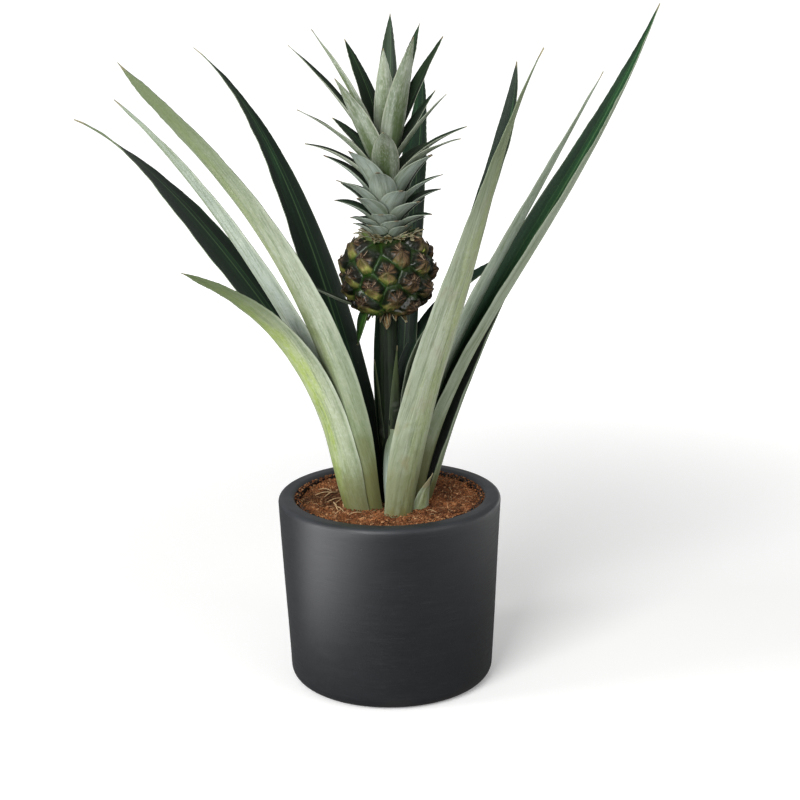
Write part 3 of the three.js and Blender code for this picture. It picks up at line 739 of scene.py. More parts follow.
def leaf_group():
    """Colour, roughness and height of a leaf from its along, across and face values."""
    name = "Leaf surface"
    if name in bpy.data.node_groups:
        return bpy.data.node_groups[name]
    tree, g, given, out = new_group(name, LEAF_INPUTS, LEAF_OUTPUTS)
    m = leaf_maps(g)
    under = leaf_under(g, given, m)
    upper = leaf_upper(g, given, m)
    color = g.blend(m.face, upper, under)
    ragged = g.math("MULTIPLY_ADD", g.math("SUBTRACT", m.broad, 0.5), 0.03, m.along)
    start = g.math("SUBTRACT", 1.0, given["Dry Tip"])
    dry = g.window(g.math("SUBTRACT", ragged, start), -0.012, 0.006)
    color = g.blend(g.times(dry, 0.85), color, given["Dry"])
    place = g.vector(g.times(m.side, 5.0), g.times(m.run, 42.0), m.tone)
    freckle = g.node("ShaderNodeTexVoronoi", Vector=place, Scale=1.0, Randomness=1.0)
    dots = g.window(freckle.outputs["Distance"], 0.05, 0.1, 0.5, 0.0)
    color = g.blend(g.times(dots, g.window(m.patch, 0.46, 0.6)), color, "#4d4f2c")
    g.feed(out["Color"], color)

    rough = g.math("MULTIPLY_ADD", m.face, 0.06, g.times(m.scurf, 0.2))
    g.feed(out["Roughness"], g.math("ADD", rough, 0.48))
    ridge = g.math("MULTIPLY_ADD", m.fine, 0.6, g.times(m.scurf, 0.25))
    g.feed(out["Height"], g.math("MULTIPLY_ADD", m.medium, 0.5, ridge))
    g.feed(out["Gloss"], g.times(g.math("SUBTRACT", 1.0, m.face), 0.05))
    return tree


def leaf_material(name, look, **traits):
    """Skin of a leaf; traits are the leaf surface's other inputs where they differ."""
    material, g, shader = new_material(name, Specular_IOR_Level=0.2, Coat_Roughness=0.35)
    under, band, upper, dry_tip, stain = look
    made = g.node("ShaderNodeGroup", {"node_tree": leaf_group()}, Under=under, Band=band,
                  Upper=upper, Dry_Tip=dry_tip, Stain=stain, **traits).outputs
    g.feed(shader.inputs["Coat Weight"], made["Gloss"])
    dress(g, shader, made["Color"], made["Roughness"], made["Height"], 0.5, 0.0006)
    return material


def pot_material(tint):
    """Matte charcoal clay with fine turned lines, small pits painted near-black as shade, and a rim
    lighter in patches.
    """
    material, g, shader = new_material("matte_pot", Specular_IOR_Level=0.4)
    place = g.place()
    parts = g.split(place)
    z = parts[2]
    lines = g.noise(g.scaled(parts, (60.0, 60.0, 1300.0)), 1.0, 4.0, 0.65)
    bands = g.noise(g.scaled(parts, (9.0, 9.0, 120.0)), 1.0, 3.0)
    cloud = g.noise(place, 26.0, 5.0)
    grit = g.noise(place, 1100.0, 2.0)
    color = g.tint(tint, "#131416", bands, 0.35, 0.7, 0.0, 0.4)
    color = g.tint(color, "#2c2f34", lines, 0.5, 0.75, 0.0, 0.3)
    color = g.tint(color, "#141516", cloud, 0.4, 0.7, 0.0, 0.3)
    # The rim's top is lighter in patches.
    patchy = g.times(g.window(z, 0.1195, 0.1236), g.window(cloud, 0.3, 0.6, 0.35, 0.6))
    color = g.blend(patchy, color, "#33363a")
    dust = g.times(g.window(z, 0.0, 0.012, 1.0, 0.0), g.window(cloud, 0.4, 0.65, 0.0, 0.3))
    color = g.blend(dust, color, "#3c3935")
    # Small pits are painted near-black as the shade inside them, and sunk in the relief.
    pits = g.node("ShaderNodeTexVoronoi", Vector=place, Scale=62.0, Randomness=1.0)
    draw = g.node("ShaderNodeSeparateColor", Color=pits.outputs["Color"]).outputs[0]
    chosen = g.window(draw, 0.8, 0.81)
    pit = g.times(g.window(pits.outputs["Distance"], 0.025, 0.045, 1.0, 0.0), chosen)
    color = g.blend(pit, color, "#0c0c0d")
    height = g.math("MULTIPLY_ADD", lines, 0.45, g.times(grit, 0.3))
    height = g.math("SUBTRACT", g.math("MULTIPLY_ADD", bands, 0.3, height), pit)
    dress(g, shader, color, g.window(lines, 0.3, 0.7, 0.4, 0.5), height, 0.4, 0.0003)
    return material


def nursery_material():
    """Thin black moulded plastic with a faint scuffed grain."""
    material, g, shader = new_material("nursery_plastic", Specular_IOR_Level=0.25)
    place = g.place()
    grain = g.noise(place, 900.0, 2.0)
    scuff = g.noise(place, 60.0, 5.0)
    color = g.tint("#0f0f10", "#242322", scuff, 0.45, 0.7, 0.0, 0.4)
    dress(g, shader, color, g.window(scuff, 0.3, 0.7, 0.5, 0.7), grain, 0.3, 0.0002)
    return material


def soil_material():
    """Brown coir: crumbs, dark pores and low places painted as shade, pale specks and a dark patch
    that is partly damp and partly painted shadow.
    """
    material, g, shader = new_material("potting_soil", Specular_IOR_Level=0.15)
    place = g.place()
    height, tone = g.value("height"), g.value("tone")
    crumbs = g.noise(place, 620.0, 4.0, 0.65)
    grains = g.noise(place, 330.0, 3.0)
    clumps = g.noise(place, 70.0, 4.0)
    color = g.tint("#a46a42", "#7a4a2d", clumps, 0.35, 0.65)
    # Dark pores follow the hollows of the relief: painted shade.
    color = g.tint(color, "#43291a", crumbs, 0.36, 0.58, 0.85, 0.0)
    color = g.tint(color, "#d6a477", grains, 0.55, 0.68, 0.0, 0.85)
    # Darker where the surface lies low: painted shade in its hollows; on loose crumbs the value is
    # a random tone.
    color = g.tint(color, "#301c11", height, -0.8, 0.1, 0.75, 0.0)
    color = g.tint(color, "#c99a6c", tone, 0.55, 1.0, 0.0, 0.8)
    # A dark patch near the left: partly damp soil, partly painted shadow.
    damp_shade_distance = g.node("ShaderNodeVectorMath", {"operation": "DISTANCE"})
    g.feed(damp_shade_distance.inputs[0], place)
    damp_shade_distance.inputs[1].default_value = DAMP_SHADE_PLACE
    damp_and_shade = g.window(damp_shade_distance.outputs["Value"], 0.006, 0.026, 0.6, 0.0)
    damp_and_shade = g.times(damp_and_shade, g.window(clumps, 0.3, 0.55, 0.5, 1.0))
    color = g.blend(damp_and_shade, color, "#3a2a1c")
    relief = g.math("ADD", crumbs, g.times(grains, 0.8))
    dress(g, shader, color, g.window(crumbs, 0.3, 0.7, 0.8, 1.0), relief, 0.9, 0.0014)
    return material


def strand_material(name, dark, light):
    """Dry plant fibre whose colour runs from dark to light with its tone."""
    material, g, shader = new_material(name, Specular_IOR_Level=0.25)
    place = g.place()
    mottle = g.noise(place, 400.0, 3.0)
    share = g.math("ADD", g.times(g.value("tone"), 0.75), g.times(mottle, 0.35))
    color = g.blend(share, dark, light)
    dress(g, shader, color, g.window(mottle, 0.3, 0.7, 0.6, 0.9), mottle, 0.4, 0.0003)
    return material


def fruit_material():
    """Unripe rind: near-black glossy domes, wet green grooves and gold-green bract pads; pads and
    grooves are painted browner as shade towards +X.
    """
    material, g, shader = new_material("fruit_rind", Specular_IOR_Level=0.16, Coat_Roughness=0.1)
    place = g.place()
    x, y, groove, tone = g.value("eye_x"), g.value("eye_y"), g.value("groove"), g.value("tone")
    mottle = g.noise(place, 300.0, 4.0, 0.6)
    patch = g.noise(place, 75.0, 3.0)
    fibre = g.noise(g.vector(g.times(x, 9.0), g.times(y, 2.0), tone), 1.0, 4.0)
    east = g.split(place)[0]
    # Pads and grooves turn dull brown towards +X, away from the key light, as painted shade, mixed
    # with each eye's own tone.
    brown = g.math("ADD", g.window(east, -0.012, 0.02, 0.0, 0.75), g.times(tone, 0.4))

    dome = g.blend(mottle, "#060a04", "#182411")
    dome = g.tint(dome, "#161009", patch, 0.45, 0.65, 0.0, 0.6)
    dome = g.tint(dome, "#344a1c", y, 0.45, 0.95, 0.0, 0.45)
    gold = g.tint("#2a5412", "#9a9f4e", y, -0.95, -0.3)
    gold = g.tint(gold, "#b89c6c", fibre, 0.5, 0.7, 0.0, 0.5)
    dull = g.tint("#261d13", "#5c4630", fibre, 0.4, 0.66)
    pad = g.blend(g.math("MINIMUM", brown, 1.0), gold, dull)
    color = g.blend(g.value("pad"), dome, pad)
    middle = g.math("SQRT", g.math("MULTIPLY_ADD", x, x, g.times(y, y)))
    angle = g.math("ARCTAN2", y, x)
    rays = g.noise(g.scaled((angle, middle, tone), (3.2, 0.8, 40.0)), 1.0, 4.0, 0.7)
    star = g.tint("#1a120c", "#6b523b", rays, 0.42, 0.66)
    heart = g.window(g.math("MULTIPLY_ADD", rays, -0.9, middle), -0.15, 0.2, 0.8, 0.0)
    color = g.blend(heart, color, star)
    green = g.blend(mottle, "#0a1806", "#2c5612")
    green = g.blend(g.times(brown, 0.5), green, "#241c12")
    color = g.blend(g.window(groove, 0.2, 1.3, 0.95, 0.0), color, green)
    g.feed(shader.inputs["Coat Weight"], g.window(groove, 0.4, 3.2, 0.4, 0.16))
    height = g.math("MULTIPLY_ADD", mottle, 0.6, g.times(fibre, 0.6))
    dress(g, shader, color, g.window(mottle, 0.3, 0.7, 0.4, 0.65), height, 0.6, 0.0008)
    return material


def stalk_material():
    """Dull dark green stalk with long pale ribs."""
    material, g, shader = new_material("stalk_skin", Specular_IOR_Level=0.25)
    place = g.place()
    ribs = g.noise(g.scaled(g.split(place), (420.0, 420.0, 14.0)), 1.0, 3.0)
    patch = g.noise(place, 70.0, 3.0)
    color = g.tint("#141d12", "#2b3725", ribs, 0.35, 0.65)
    color = g.tint(color, "#2c302a", patch, 0.45, 0.7, 0.0, 0.5)
    dress(g, shader, color, g.window(patch, 0.3, 0.7, 0.45, 0.65), ribs, 0.5, 0.0006)
    return material


def floor_material(tint):
    """White sweep: the camera sees it evenly bright, with soft shadows left on it."""
    material, g, shader = new_material("pale_floor", Specular_IOR_Level=0.1)
    place = g.place()
    soft = g.noise(place, 3.0, 2.0)
    pale = g.blend(g.window(soft, 0.3, 0.7, 0.0, 0.5), tint, grey(0.9))
    rays = g.node("ShaderNodeLightPath").outputs
    seen, mirrored = rays["Is Camera Ray"], rays["Is Glossy Ray"]
    bounced = g.blend(mirrored, grey(0.5), grey(0.25))
    g.feed(shader.inputs["Base Color"], g.blend(seen, bounced, pale))
    shader.inputs["Roughness"].default_value = 0.9
    parts = g.split(place)
    x, y = parts[0], parts[1]
    far = g.math("SQRT", g.math("MULTIPLY_ADD", x, x, g.times(y, y)))
    glow = g.blend(g.window(far, 0.25, 1.2), grey(0.15), grey(0.85))
    # White cards lie on the floor at both sides and show only in reflections
    left = g.times(g.window(x, -0.3, -0.1, 1.0, 0.0), g.window(y, -0.08, 0.04, 1.0, 0.0))
    right = g.window(x, 0.2, 0.5, 0.0, 0.3)
    card = g.times(g.math("ADD", left, right), mirrored)
    card = g.blend(card, grey(0.0), grey(5.5))
    g.feed(shader.inputs["Emission Color"], g.blend(seen, card, glow))
    shader.inputs["Emission Strength"].default_value = 1.0
    return material


# Settings


def length_property(name, about, default):
    return bpy.props.FloatProperty(
        name=name, description=about, default=default, min=0.0, unit="LENGTH", subtype="DISTANCE"
    )


def color_property(name, about, code):
    return bpy.props.FloatVectorProperty(
        name=name, description=about, default=linear(code),
        size=4, min=0.0, max=1.0, subtype="COLOR",
    )


def count_property(name, about, default):
    return bpy.props.IntProperty(name=name, description=about, default=default, min=1)


def number_property(name, about, default, least=0.0):
    return bpy.props.FloatProperty(name=name, description=about, default=default, min=least)


class PLANT_PG_pot(bpy.types.PropertyGroup):
    """Sizes and colour of the outer pot"""

    height: length_property("Height", "Height of the pot", 0.124)
    rim_radius: length_property("Rim radius", "Outer radius at the rim", 0.0725)
    foot_radius: length_property("Foot radius", "Outer radius above the rounded foot", 0.0668)
    wall: length_property("Wall", "Wall thickness", 0.011)
    floor: length_property("Floor", "Thickness of the floor", 0.010)
    foot_round: length_property("Foot rounding", "Radius of the rounded foot", 0.008)
    rim_round: length_property("Rim rounding", "Radius of the rounded rim", 0.0035)
    sides: count_property("Sides", "Faces around the pot", 160)
    tint: color_property("Colour", "Main colour of the clay", "#17191c")


class PLANT_PG_soil(bpy.types.PropertyGroup):
    """Sizes of the soil and what lies on it"""

    radius: length_property("Radius", "Radius of the soil's surface", 0.0584)
    top: length_property("Top", "Mean height of the soil's surface", 0.120)
    rings: count_property("Rings", "Rows of points from middle to edge", 110)
    sides: count_property("Sides", "Points in each ring", 340)
    crumbs: count_property("Crumbs", "Loose crumbs on the surface", 3600)
    rim_crumbs: count_property("Rim crumbs", "Crumbs spilt over the nursery pot's rim", 1500)
    fibres: count_property("Fibres", "Loose coir fibres on the surface", 230)
    foot_crumbs: count_property("Foot crumbs", "Crumbs heaped at each point of a leaf's foot", 4)


class PLANT_PG_leaves(bpy.types.PropertyGroup):
    """Detail of the long leaves"""

    thickness: length_property("Thickness", "Thickness at the middle of a leaf", 0.0014)
    edge: length_property("Edge", "Thickness at the margin", 0.0005)
    teeth: length_property("Teeth", "Size of the spines near the tips", 0.0006)
    foot_bulge: length_property("Foot bulge", "How far a leaf's fleshy foot stands out", 0.0055)
    stations: count_property("Stations", "Rows of points along a leaf", 140)
    strips: count_property("Strips", "Faces across a leaf", 26)


class PLANT_PG_fruit(bpy.types.PropertyGroup):
    """Sizes of the fruit and its stalk"""

    radius: length_property("Radius", "Radius over the eyes", 0.0296)
    eye_rise: length_property("Eye rise", "Height of an eye over its groove", 0.0027)
    eye_radius: length_property("Eye radius", "Radius of an eye", 0.0097)
    rows: count_property("Rows", "Rows of points up the fruit", 190)
    sides: count_property("Sides", "Points around the fruit", 380)
    stalk_radius: length_property("Stalk radius", "Radius of the fruit stalk", 0.0066)


class PLANT_PG_crown(bpy.types.PropertyGroup):
    """Sizes of the crown"""

    spiral_leaves: count_property("Low leaves", "Leaves in the spiral at the bottom", 32)
    rise: length_property("Rise", "Height from one low leaf to the next", 0.0006)
    core_height: length_property("Core height", "Height of the crown's stem", 0.057)
    core_radius: length_property("Core radius", "Radius of the crown's stem", 0.0095)


class PLANT_PG_stage(bpy.types.PropertyGroup):
    """Floor, lights and camera"""

    floor_size: length_property("Floor size", "Length of the floor's sides", 30.0)
    floor_tint: color_property("Floor colour", "Colour of the floor", "#f4f4f3")
    key_power: number_property("Key light", "Power of the key light in watts", 39.0)
    strip_power: number_property("Side strip", "Power of the tall side light in watts", 8.0)
    fill_power: number_property("Fill light", "Power of the fill light in watts", 7.0)
    sky: number_property("Sky", "Brightness of the even light around", 0.4)
    lens: number_property("Lens", "Focal length in millimetres", 81.67, 1.0)


# Pieces


def mound(x, y):
    """How far the soil rises towards the stem."""
    return 1.1 * smooth(42 - np.hypot(x - PLANT_X, y - PLANT_Y), 0, 18)


def soil_height(x, y):
    """The soil's slope and its long low waves."""
    bumps = np.sin(x / 5.1 + 1) * np.cos(y / 4.3) + np.sin((x - y) / 9)
    return 0.03 * y + 0.5 * bumps


def build_pot(p):
    """The outer pot, turned from one closed profile."""
    height, rim, foot = p.height / MM, p.rim_round / MM, p.foot_round / MM
    outer, base = p.rim_radius / MM, p.foot_radius / MM
    inner = outer - p.wall / MM
    floor = p.floor / MM
    wall = [(mix(base, outer, t), mix(foot, height - rim, t)) for t in np.linspace(0, 1, 26)[1:-1]]
    inside = [
        (mix(inner, base - p.wall / MM, t), mix(height - rim, floor, t))
        for t in np.linspace(0, 1, 8)[1:]
    ]
    profile = [(0.0, 0.0), (30.0, 0.0)]
    profile += arc(base - foot, foot, foot, -90, 0, 12)
    profile += wall
    profile += arc(outer - rim, height - rim, rim, 0, 90, 10)
    profile += arc(inner + rim, height - rim, rim, 90, 180, 8)
    profile += inside
    profile.append((0.0, floor))
    form = Form()
    turned(form, profile, p.sides, wobble=0.12)
    made = form.object("matte_round_pot", pot_material(tuple(p.tint)), "ceramic", weld=True)
    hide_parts("pot")


def build_nursery_pot():
    """The inner pot stays as packed and gets its plastic and a rolled rim."""
    material = nursery_material()
    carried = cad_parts["nursery_pot"]
    carried.data.materials.clear()
    carried.data.materials.append(material)
    form = Form()
    turned(form, arc(*NURSERY_RIM, 0, 360, 12), 160, wobble=0.05)
    form.object("nursery_pot_rolled_rim", material, "black_plastic", weld=True)


def build_soil(p):
    """The uneven top of the soil, closed below by plain rings."""
    radius = p.radius / MM
    share = np.linspace(0, 1, p.rings) ** 0.75
    angle = np.linspace(0, 2 * math.pi, p.sides, endpoint=False)
    r = radius * share[:, None]
    x = (r * np.cos(angle) + PLANT_X * (1 - share[:, None])).ravel()
    y = (r * np.sin(angle) + PLANT_Y * (1 - share[:, None])).ravel()
    flat = np.stack([x, y, np.zeros_like(x)], axis=1)
    crumbs = perlin(flat, 0.55, 1) * 0.75 + perlin(flat, 1.2, 2) * 0.5
    clumps = perlin(flat, 0.16, 3) * 0.8 + perlin(flat, 2.4, 4) * 0.2
    edge = -0.5 * smooth(np.hypot(x, y), radius - 4, radius)
    relief = crumbs + clumps
    z = p.top / MM + soil_height(x, y) + relief * 0.85 + mound(x, y) + edge
    form = Form()
    top = np.stack([x, y, z], axis=1)
    form.add(top, grid_faces(p.rings, p.sides, wrap=True), height=relief, tone=0.0)
    skirt = []
    for depth, size in SOIL_RINGS:
        ring_z = z[-p.sides :] if depth == 0 else np.full(p.sides, p.top / MM - depth)
        skirt.append(np.stack([x[-p.sides :] * size, y[-p.sides :] * size, ring_z], axis=1))
    faces = grid_faces(len(skirt), p.sides, wrap=True)
    form.add(np.concatenate(skirt), faces, height=0.0, tone=0.0)
    made = form.object("potting_soil", soil_material(), "soil", weld=True)
    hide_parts("soil")
    build_soil_litter(p)


def soil_top(p, x, y):
    """Height of the soil's surface at one place, without its relief."""
    return p.top / MM + float(soil_height(x, y)) + float(mound(x, y))


CRUMB_FACES = [
    (0, 2, 4), (2, 1, 4), (1, 3, 4), (3, 0, 4), (2, 0, 5), (1, 2, 5), (3, 1, 5), (0, 3, 5),
]
CRUMB_ARMS = np.array([(1, 0, 0), (-1, 0, 0), (0, 1, 0), (0, -1, 0), (0, 0, 1), (0, 0, -1)], float)


def add_crumb(form, random, x, y, z):
    """Adds one rough eight-sided crumb."""
    size = random.uniform(0.3, 1.0) * random.uniform(0.6, 1.0)
    body = CRUMB_ARMS * random.uniform(0.5, 1.1, (6, 1)) * size
    body += random.uniform(-0.2, 0.2, (6, 3)) * size
    body += (x, y, z + size * 0.3)
    form.add(body, CRUMB_FACES, height=random.uniform(-0.7, 0.5), tone=random.uniform(0, 0.85) ** 2)


def build_foot_crumbs(p, feet):
    """Crumbs heaped against the outside of each leaf where it leaves the soil."""
    random = np.random.default_rng(31)
    form = Form()
    for x, y, _ in feet:
        turn = math.atan2(y - PLANT_Y, x - PLANT_X)
        for _ in range(p.foot_crumbs):
            away = 3.2 * random.uniform(0, 1) ** 1.5 - 0.3
            side = random.uniform(-0.8, 0.8)
            at_x = x + away * math.cos(turn) - side * math.sin(turn)
            at_y = y + away * math.sin(turn) + side * math.cos(turn)
            heap = 1.3 * (1 - away / 3.0) * random.uniform(0.2, 1.0)
            add_crumb(form, random, at_x, at_y, soil_top(p, at_x, at_y) + 0.4 + heap)
    form.object("foot_crumbs", soil_material(), "soil", sharp=30)


def build_soil_litter(p):
    """Loose crumbs, coir fibres and pale roots that lie on the soil."""
    random = np.random.default_rng(11)
    limit = p.radius / MM - 1.2
    build_soil_crumbs(p, random, limit)
    build_coir_fibres(p, random, limit)


def build_soil_crumbs(p, random, limit):
    """Crumbs within the limit radius, and some spilt over the nursery pot's rim."""
    form = Form()
    for i in range(p.crumbs + p.rim_crumbs):
        turn, far = random.uniform(0, 2 * math.pi), limit * math.sqrt(random.uniform(0, 1))
        if i >= p.crumbs:
            far = random.uniform(limit, SPILL_END)
        x, y = far * math.cos(turn), far * math.sin(turn)
        z = soil_top(p, x, y) + 0.45
        if far > limit:
            z = mix(z, SPILL_HEIGHT, float(smooth(far, limit, SPILL_CLIMB)))
            z -= 0.9 * float(smooth(far, SPILL_DROP, SPILL_END))
        add_crumb(form, random, x, y, z)
    form.object("soil_crumbs", soil_material(), "soil", sharp=30)


def build_coir_fibres(p, random, limit):
    """Short bent fibres within the limit radius, and a few longer pale roots."""
    form = Form()
    for _ in range(p.fibres):
        turn, far = random.uniform(0, 2 * math.pi), limit * math.sqrt(random.uniform(0, 1))
        x, y = far * math.cos(turn), far * math.sin(turn)
        heading = random.uniform(0, 2 * math.pi)
        bend = random.uniform(-0.2, 0.2)
        length = random.uniform(2, 7)
        high = random.uniform(0.2, 0.9)
        path = []
        for t in np.linspace(0, 1, 7):
            x += math.cos(heading) * length / 7
            y += math.sin(heading) * length / 7
            heading += bend
            scale = min(1.0, limit / max(math.hypot(x, y), 1e-6))
            z = soil_top(p, x * scale, y * scale) + 0.7 + high * math.sin(t * math.pi)
            path.append((x * scale, y * scale, z))
        add_strand(form, path, random.uniform(0.08, 0.16), tone=random.uniform(0, 1) ** 2.2)
    for x, y, heading, length, size in PALE_ROOTS:
        path = []
        for t in np.linspace(0, 1, 9):
            path.append((x, y, soil_top(p, x, y) + 0.9 + 1.1 * math.sin(t * math.pi)))
            x += math.cos(heading) * length / 9
            y += math.sin(heading) * length / 9
            heading += 0.14 * math.sin(t * 9 + length)
        add_strand(form, path, size, sides=6, tone=1.0)
    form.object("coir_fibres", strand_material("coir", "#5d3a22", "#b89c76"), "soil")


def rosette_shape(name, p):
    """A leaf's shape from its row in the list and the panel's sizes."""
    shape = dict(LEAVES[name])
    clasp = math.degrees(shape["width"][0] / 2 / shape["ring"])
    shape["fold"] = (clasp, *shape["fold"])
    shape["base"] = ring_point(shape["side"], shape["ring"], LEAF_BASE_Z)
    shape["thickness"] = p.thickness / MM
    shape["edge"] = p.edge / MM
    shape["pinch"] = FOOT_PINCH
    bulge = FOOT_BULGES.get(name, COMMON_BULGE) * p.foot_bulge / MM
    shape["belly"] = STUB_BULGE if shape["length"] < SHORT_LEAF else bulge
    shape["ribs"] = LEAF_RIBS
    return shape


def build_leaves(p, soil):
    """The fourteen long leaves, and the crumbs at their feet."""
    feet = []
    for index, name in enumerate(LEAVES):
        form = Form()
        short = LEAVES[name]["length"] < SHORT_LEAF
        add_blade(
            form,
            rosette_shape(name, p),
            STUB_STATIONS if short else p.stations,
            p.strips,
            tone=index / len(LEAVES),
            wave=0.1 if short else 0.22,
            teeth=0.0 if short else p.teeth / MM,
        )
        made = form.object(
            name.replace("leaf_", "blade_"),
            leaf_material(name + "_skin", LEAF_LOOKS[name], **LEAF_TRAITS.get(name, {})),
            "leaf",
        )
        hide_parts(name)
        points = form.points[0]
        under = points[len(points) // 2 :]
        feet.extend(q for q in under if abs(q[2] - soil_top(soil, q[0], q[1])) < FOOT_REACH)
    build_foot_crumbs(soil, feet)


def small_leaf(azimuth, z, length, width, lean, radius, thickness=1.2):
    """A sheath or bract that grows from the stalk at the given height and radius."""
    return {
        "base": ring_point(azimuth, radius, z),
        "length": length, "lean": lean, "azimuth": (azimuth, azimuth, azimuth),
        "twist": (0, 0, 0), "fold": (60, 40, 20), "width": (width, width * 1.05),
        "widest": 0.3, "taper": 1.8, "thickness": thickness, "edge": 0.5,
    }


def build_stalk(p):
    """The ribbed stalk with its sheaths, its two long bracts and the dry ones."""
    radius = p.stalk_radius / MM
    profile = [(0.0, 81.0), (6.1, 81.0), (7.6, 84.0), (7.6, 119.0)]
    for z in np.linspace(124, FRUIT_BOTTOM - 14, 40):
        swell = 0.25 * math.exp(-(((z - 176) / 3) ** 2)) + 0.25 * math.exp(-(((z - 214) / 3) ** 2))
        profile.append((mix(radius + 0.3, 5.6, smooth(z, 124, 230)) + swell, float(z)))
    profile += [(5.8, FRUIT_BOTTOM - 8), (6.6, FRUIT_BOTTOM - 3)]
    profile += [(8.0, FRUIT_BOTTOM + 0.5), (0.0, FRUIT_BOTTOM + 0.5)]
    form = Form()
    turned(form, profile, 72, wobble=0.18)
    points = form.points[0]
    angle = np.arctan2(points[:, 1], points[:, 0])
    ribs = 1 + 0.018 * np.sin(angle * 11) + 0.01 * np.sin(angle * 23 + 1)
    points[:, :2] *= np.where(points[:, 2] > 120, ribs, 1.0)[:, None]
    points += (PLANT_X, PLANT_Y, 0)
    made = form.object("fruit_stalk", stalk_material(), "stalk", weld=True)
    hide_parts("stem_and_stalk")
    build_sheaths(radius)
    build_bracts()


def build_sheaths(radius):
    """Two thin leaves that clasp the stalk."""
    form = Form()
    for azimuth, z, length, width, lean in (
        (190, 128, 88, 11, (0, 2, 3, 7)),
        (310, 134, 92, 10, (0, 1, 2, 4)),
    ):
        shape = small_leaf(azimuth, z, length, width, lean, radius - 1.2)
        add_blade(form, shape, 50, 10, tone=azimuth / 400)
    look = ("#2c352a", "#253120", "#1c2717", 0.03, 0.1)
    sheath = leaf_material("sheath_skin", look, Silver=0.06, Margin="#75826a", Foot=0.2)
    form.object("stalk_sheaths", sheath, "stalk")


def build_bracts():
    """The long bract, the hanging green one and the ring of dry ones under the fruit."""
    form = Form()
    long_bract = small_leaf(180, FRUIT_BOTTOM + 1, 62, 7, (84, 66, 60, 58), 12)
    add_blade(form, long_bract, 60, 10, tone=0.2, teeth=0.3)
    look = ("#8b9680", "#7f8e66", "#35452e", 0.06, 0.3)
    form.object("bract_long", leaf_material("bract_long_skin", look, Dry="#5d5242"), "stalk")
    form = Form()
    hanging = small_leaf(200, FRUIT_BOTTOM + 1, 24, 13, (150, 158, 163, 163), 12.5)
    add_blade(form, hanging, 40, 12, tone=0.5, wave=0.4)
    look = ("#5f8f35", "#76a544", "#40701f", 0.04, 0.2)
    green = leaf_material("bract_green_skin", look, Silver=0.1, Foot=0.3, Margin="#8fae5c")
    form.object("bract_green", green, "stalk")
    form = Form()
    random = np.random.default_rng(5)
    flap = small_leaf(262, FRUIT_BOTTOM - 1.5, 10, 6, (140, 165, 172, 176), 6.6, 0.9)
    add_blade(form, flap, 20, 8, tone=0.3, wave=0.5)
    for i in range(DRY_BRACTS):
        azimuth = 360 / DRY_BRACTS * i + random.uniform(-6, 6)
        shape = small_leaf(
            azimuth,
            FRUIT_BOTTOM + random.uniform(-1.5, 1.2),
            random.uniform(5, 11),
            random.uniform(2.2, 4.5),
            (random.uniform(80, 115), 120, 140, 150),
            random.uniform(5.6, 8.5),
            0.7,
        )
        shape["twist"] = (0, random.uniform(-25, 25), random.uniform(-50, 50))
        add_blade(form, shape, 12, 4, tone=random.uniform(0, 1), wave=0.5)
    look = ("#a5865c", "#b89a6c", "#8a6c48", 0.12, 0.5)
    form.object("bracts_dry", leaf_material("bract_dry_skin", look, Silver=0.1, Foot=0.3), "stalk")


def fruit_point(s, azimuth, lift, radius, rise):
    """Points of the fruit's skin, with lift along its outward direction."""
    across = 2 * s - 1
    rounding = np.where(across < 0, FRUIT_LOW_ROUND, FRUIT_HIGH_ROUND)
    bulge = np.sqrt(np.maximum(1 - np.abs(across) ** rounding, 0))
    slope = np.sign(across) * np.abs(across) ** 1.6 * 1.2
    r = mix(FRUIT_CAP_RADIUS, radius - rise, bulge) + lift * np.cos(slope)
    z = mix(FRUIT_BOTTOM, FRUIT_TOP, s) + lift * np.sin(slope)
    return np.stack([r * np.cos(azimuth), r * np.sin(azimuth), z], axis=-1)


def eye_places():
    """Height share and azimuth of each eye on the fruit."""
    share = np.arange(EYE_COUNT) / (EYE_COUNT - 1)
    s = mix(EYE_LOW, EYE_HIGH, share)
    azimuth = np.radians(EYE_PHASE + EYE_TURN * np.arange(EYE_COUNT))
    return s, azimuth


def eye_relief(rise, groove, near, eye_x, eye_y):
    """Height of an eye: its dome, the facet on its upper half, its beak and the pit above."""
    dome = rise * 1.25 * smooth(groove, 0.0, 3.0) * (1 - 0.25 * np.minimum(near, 1) ** 2)
    facet = 0.9 * np.maximum(0, 0.6 - np.abs(eye_x)) * smooth(eye_y, 0.05, 0.45)
    beak = 1.6 * np.exp(-((eye_x / 0.32) ** 2 + ((eye_y - 0.02) / 0.26) ** 2))
    pit = -1.9 * np.exp(-((eye_x / 0.38) ** 2 + ((eye_y - 0.34) / 0.17) ** 2))
    return dome + facet + beak + pit


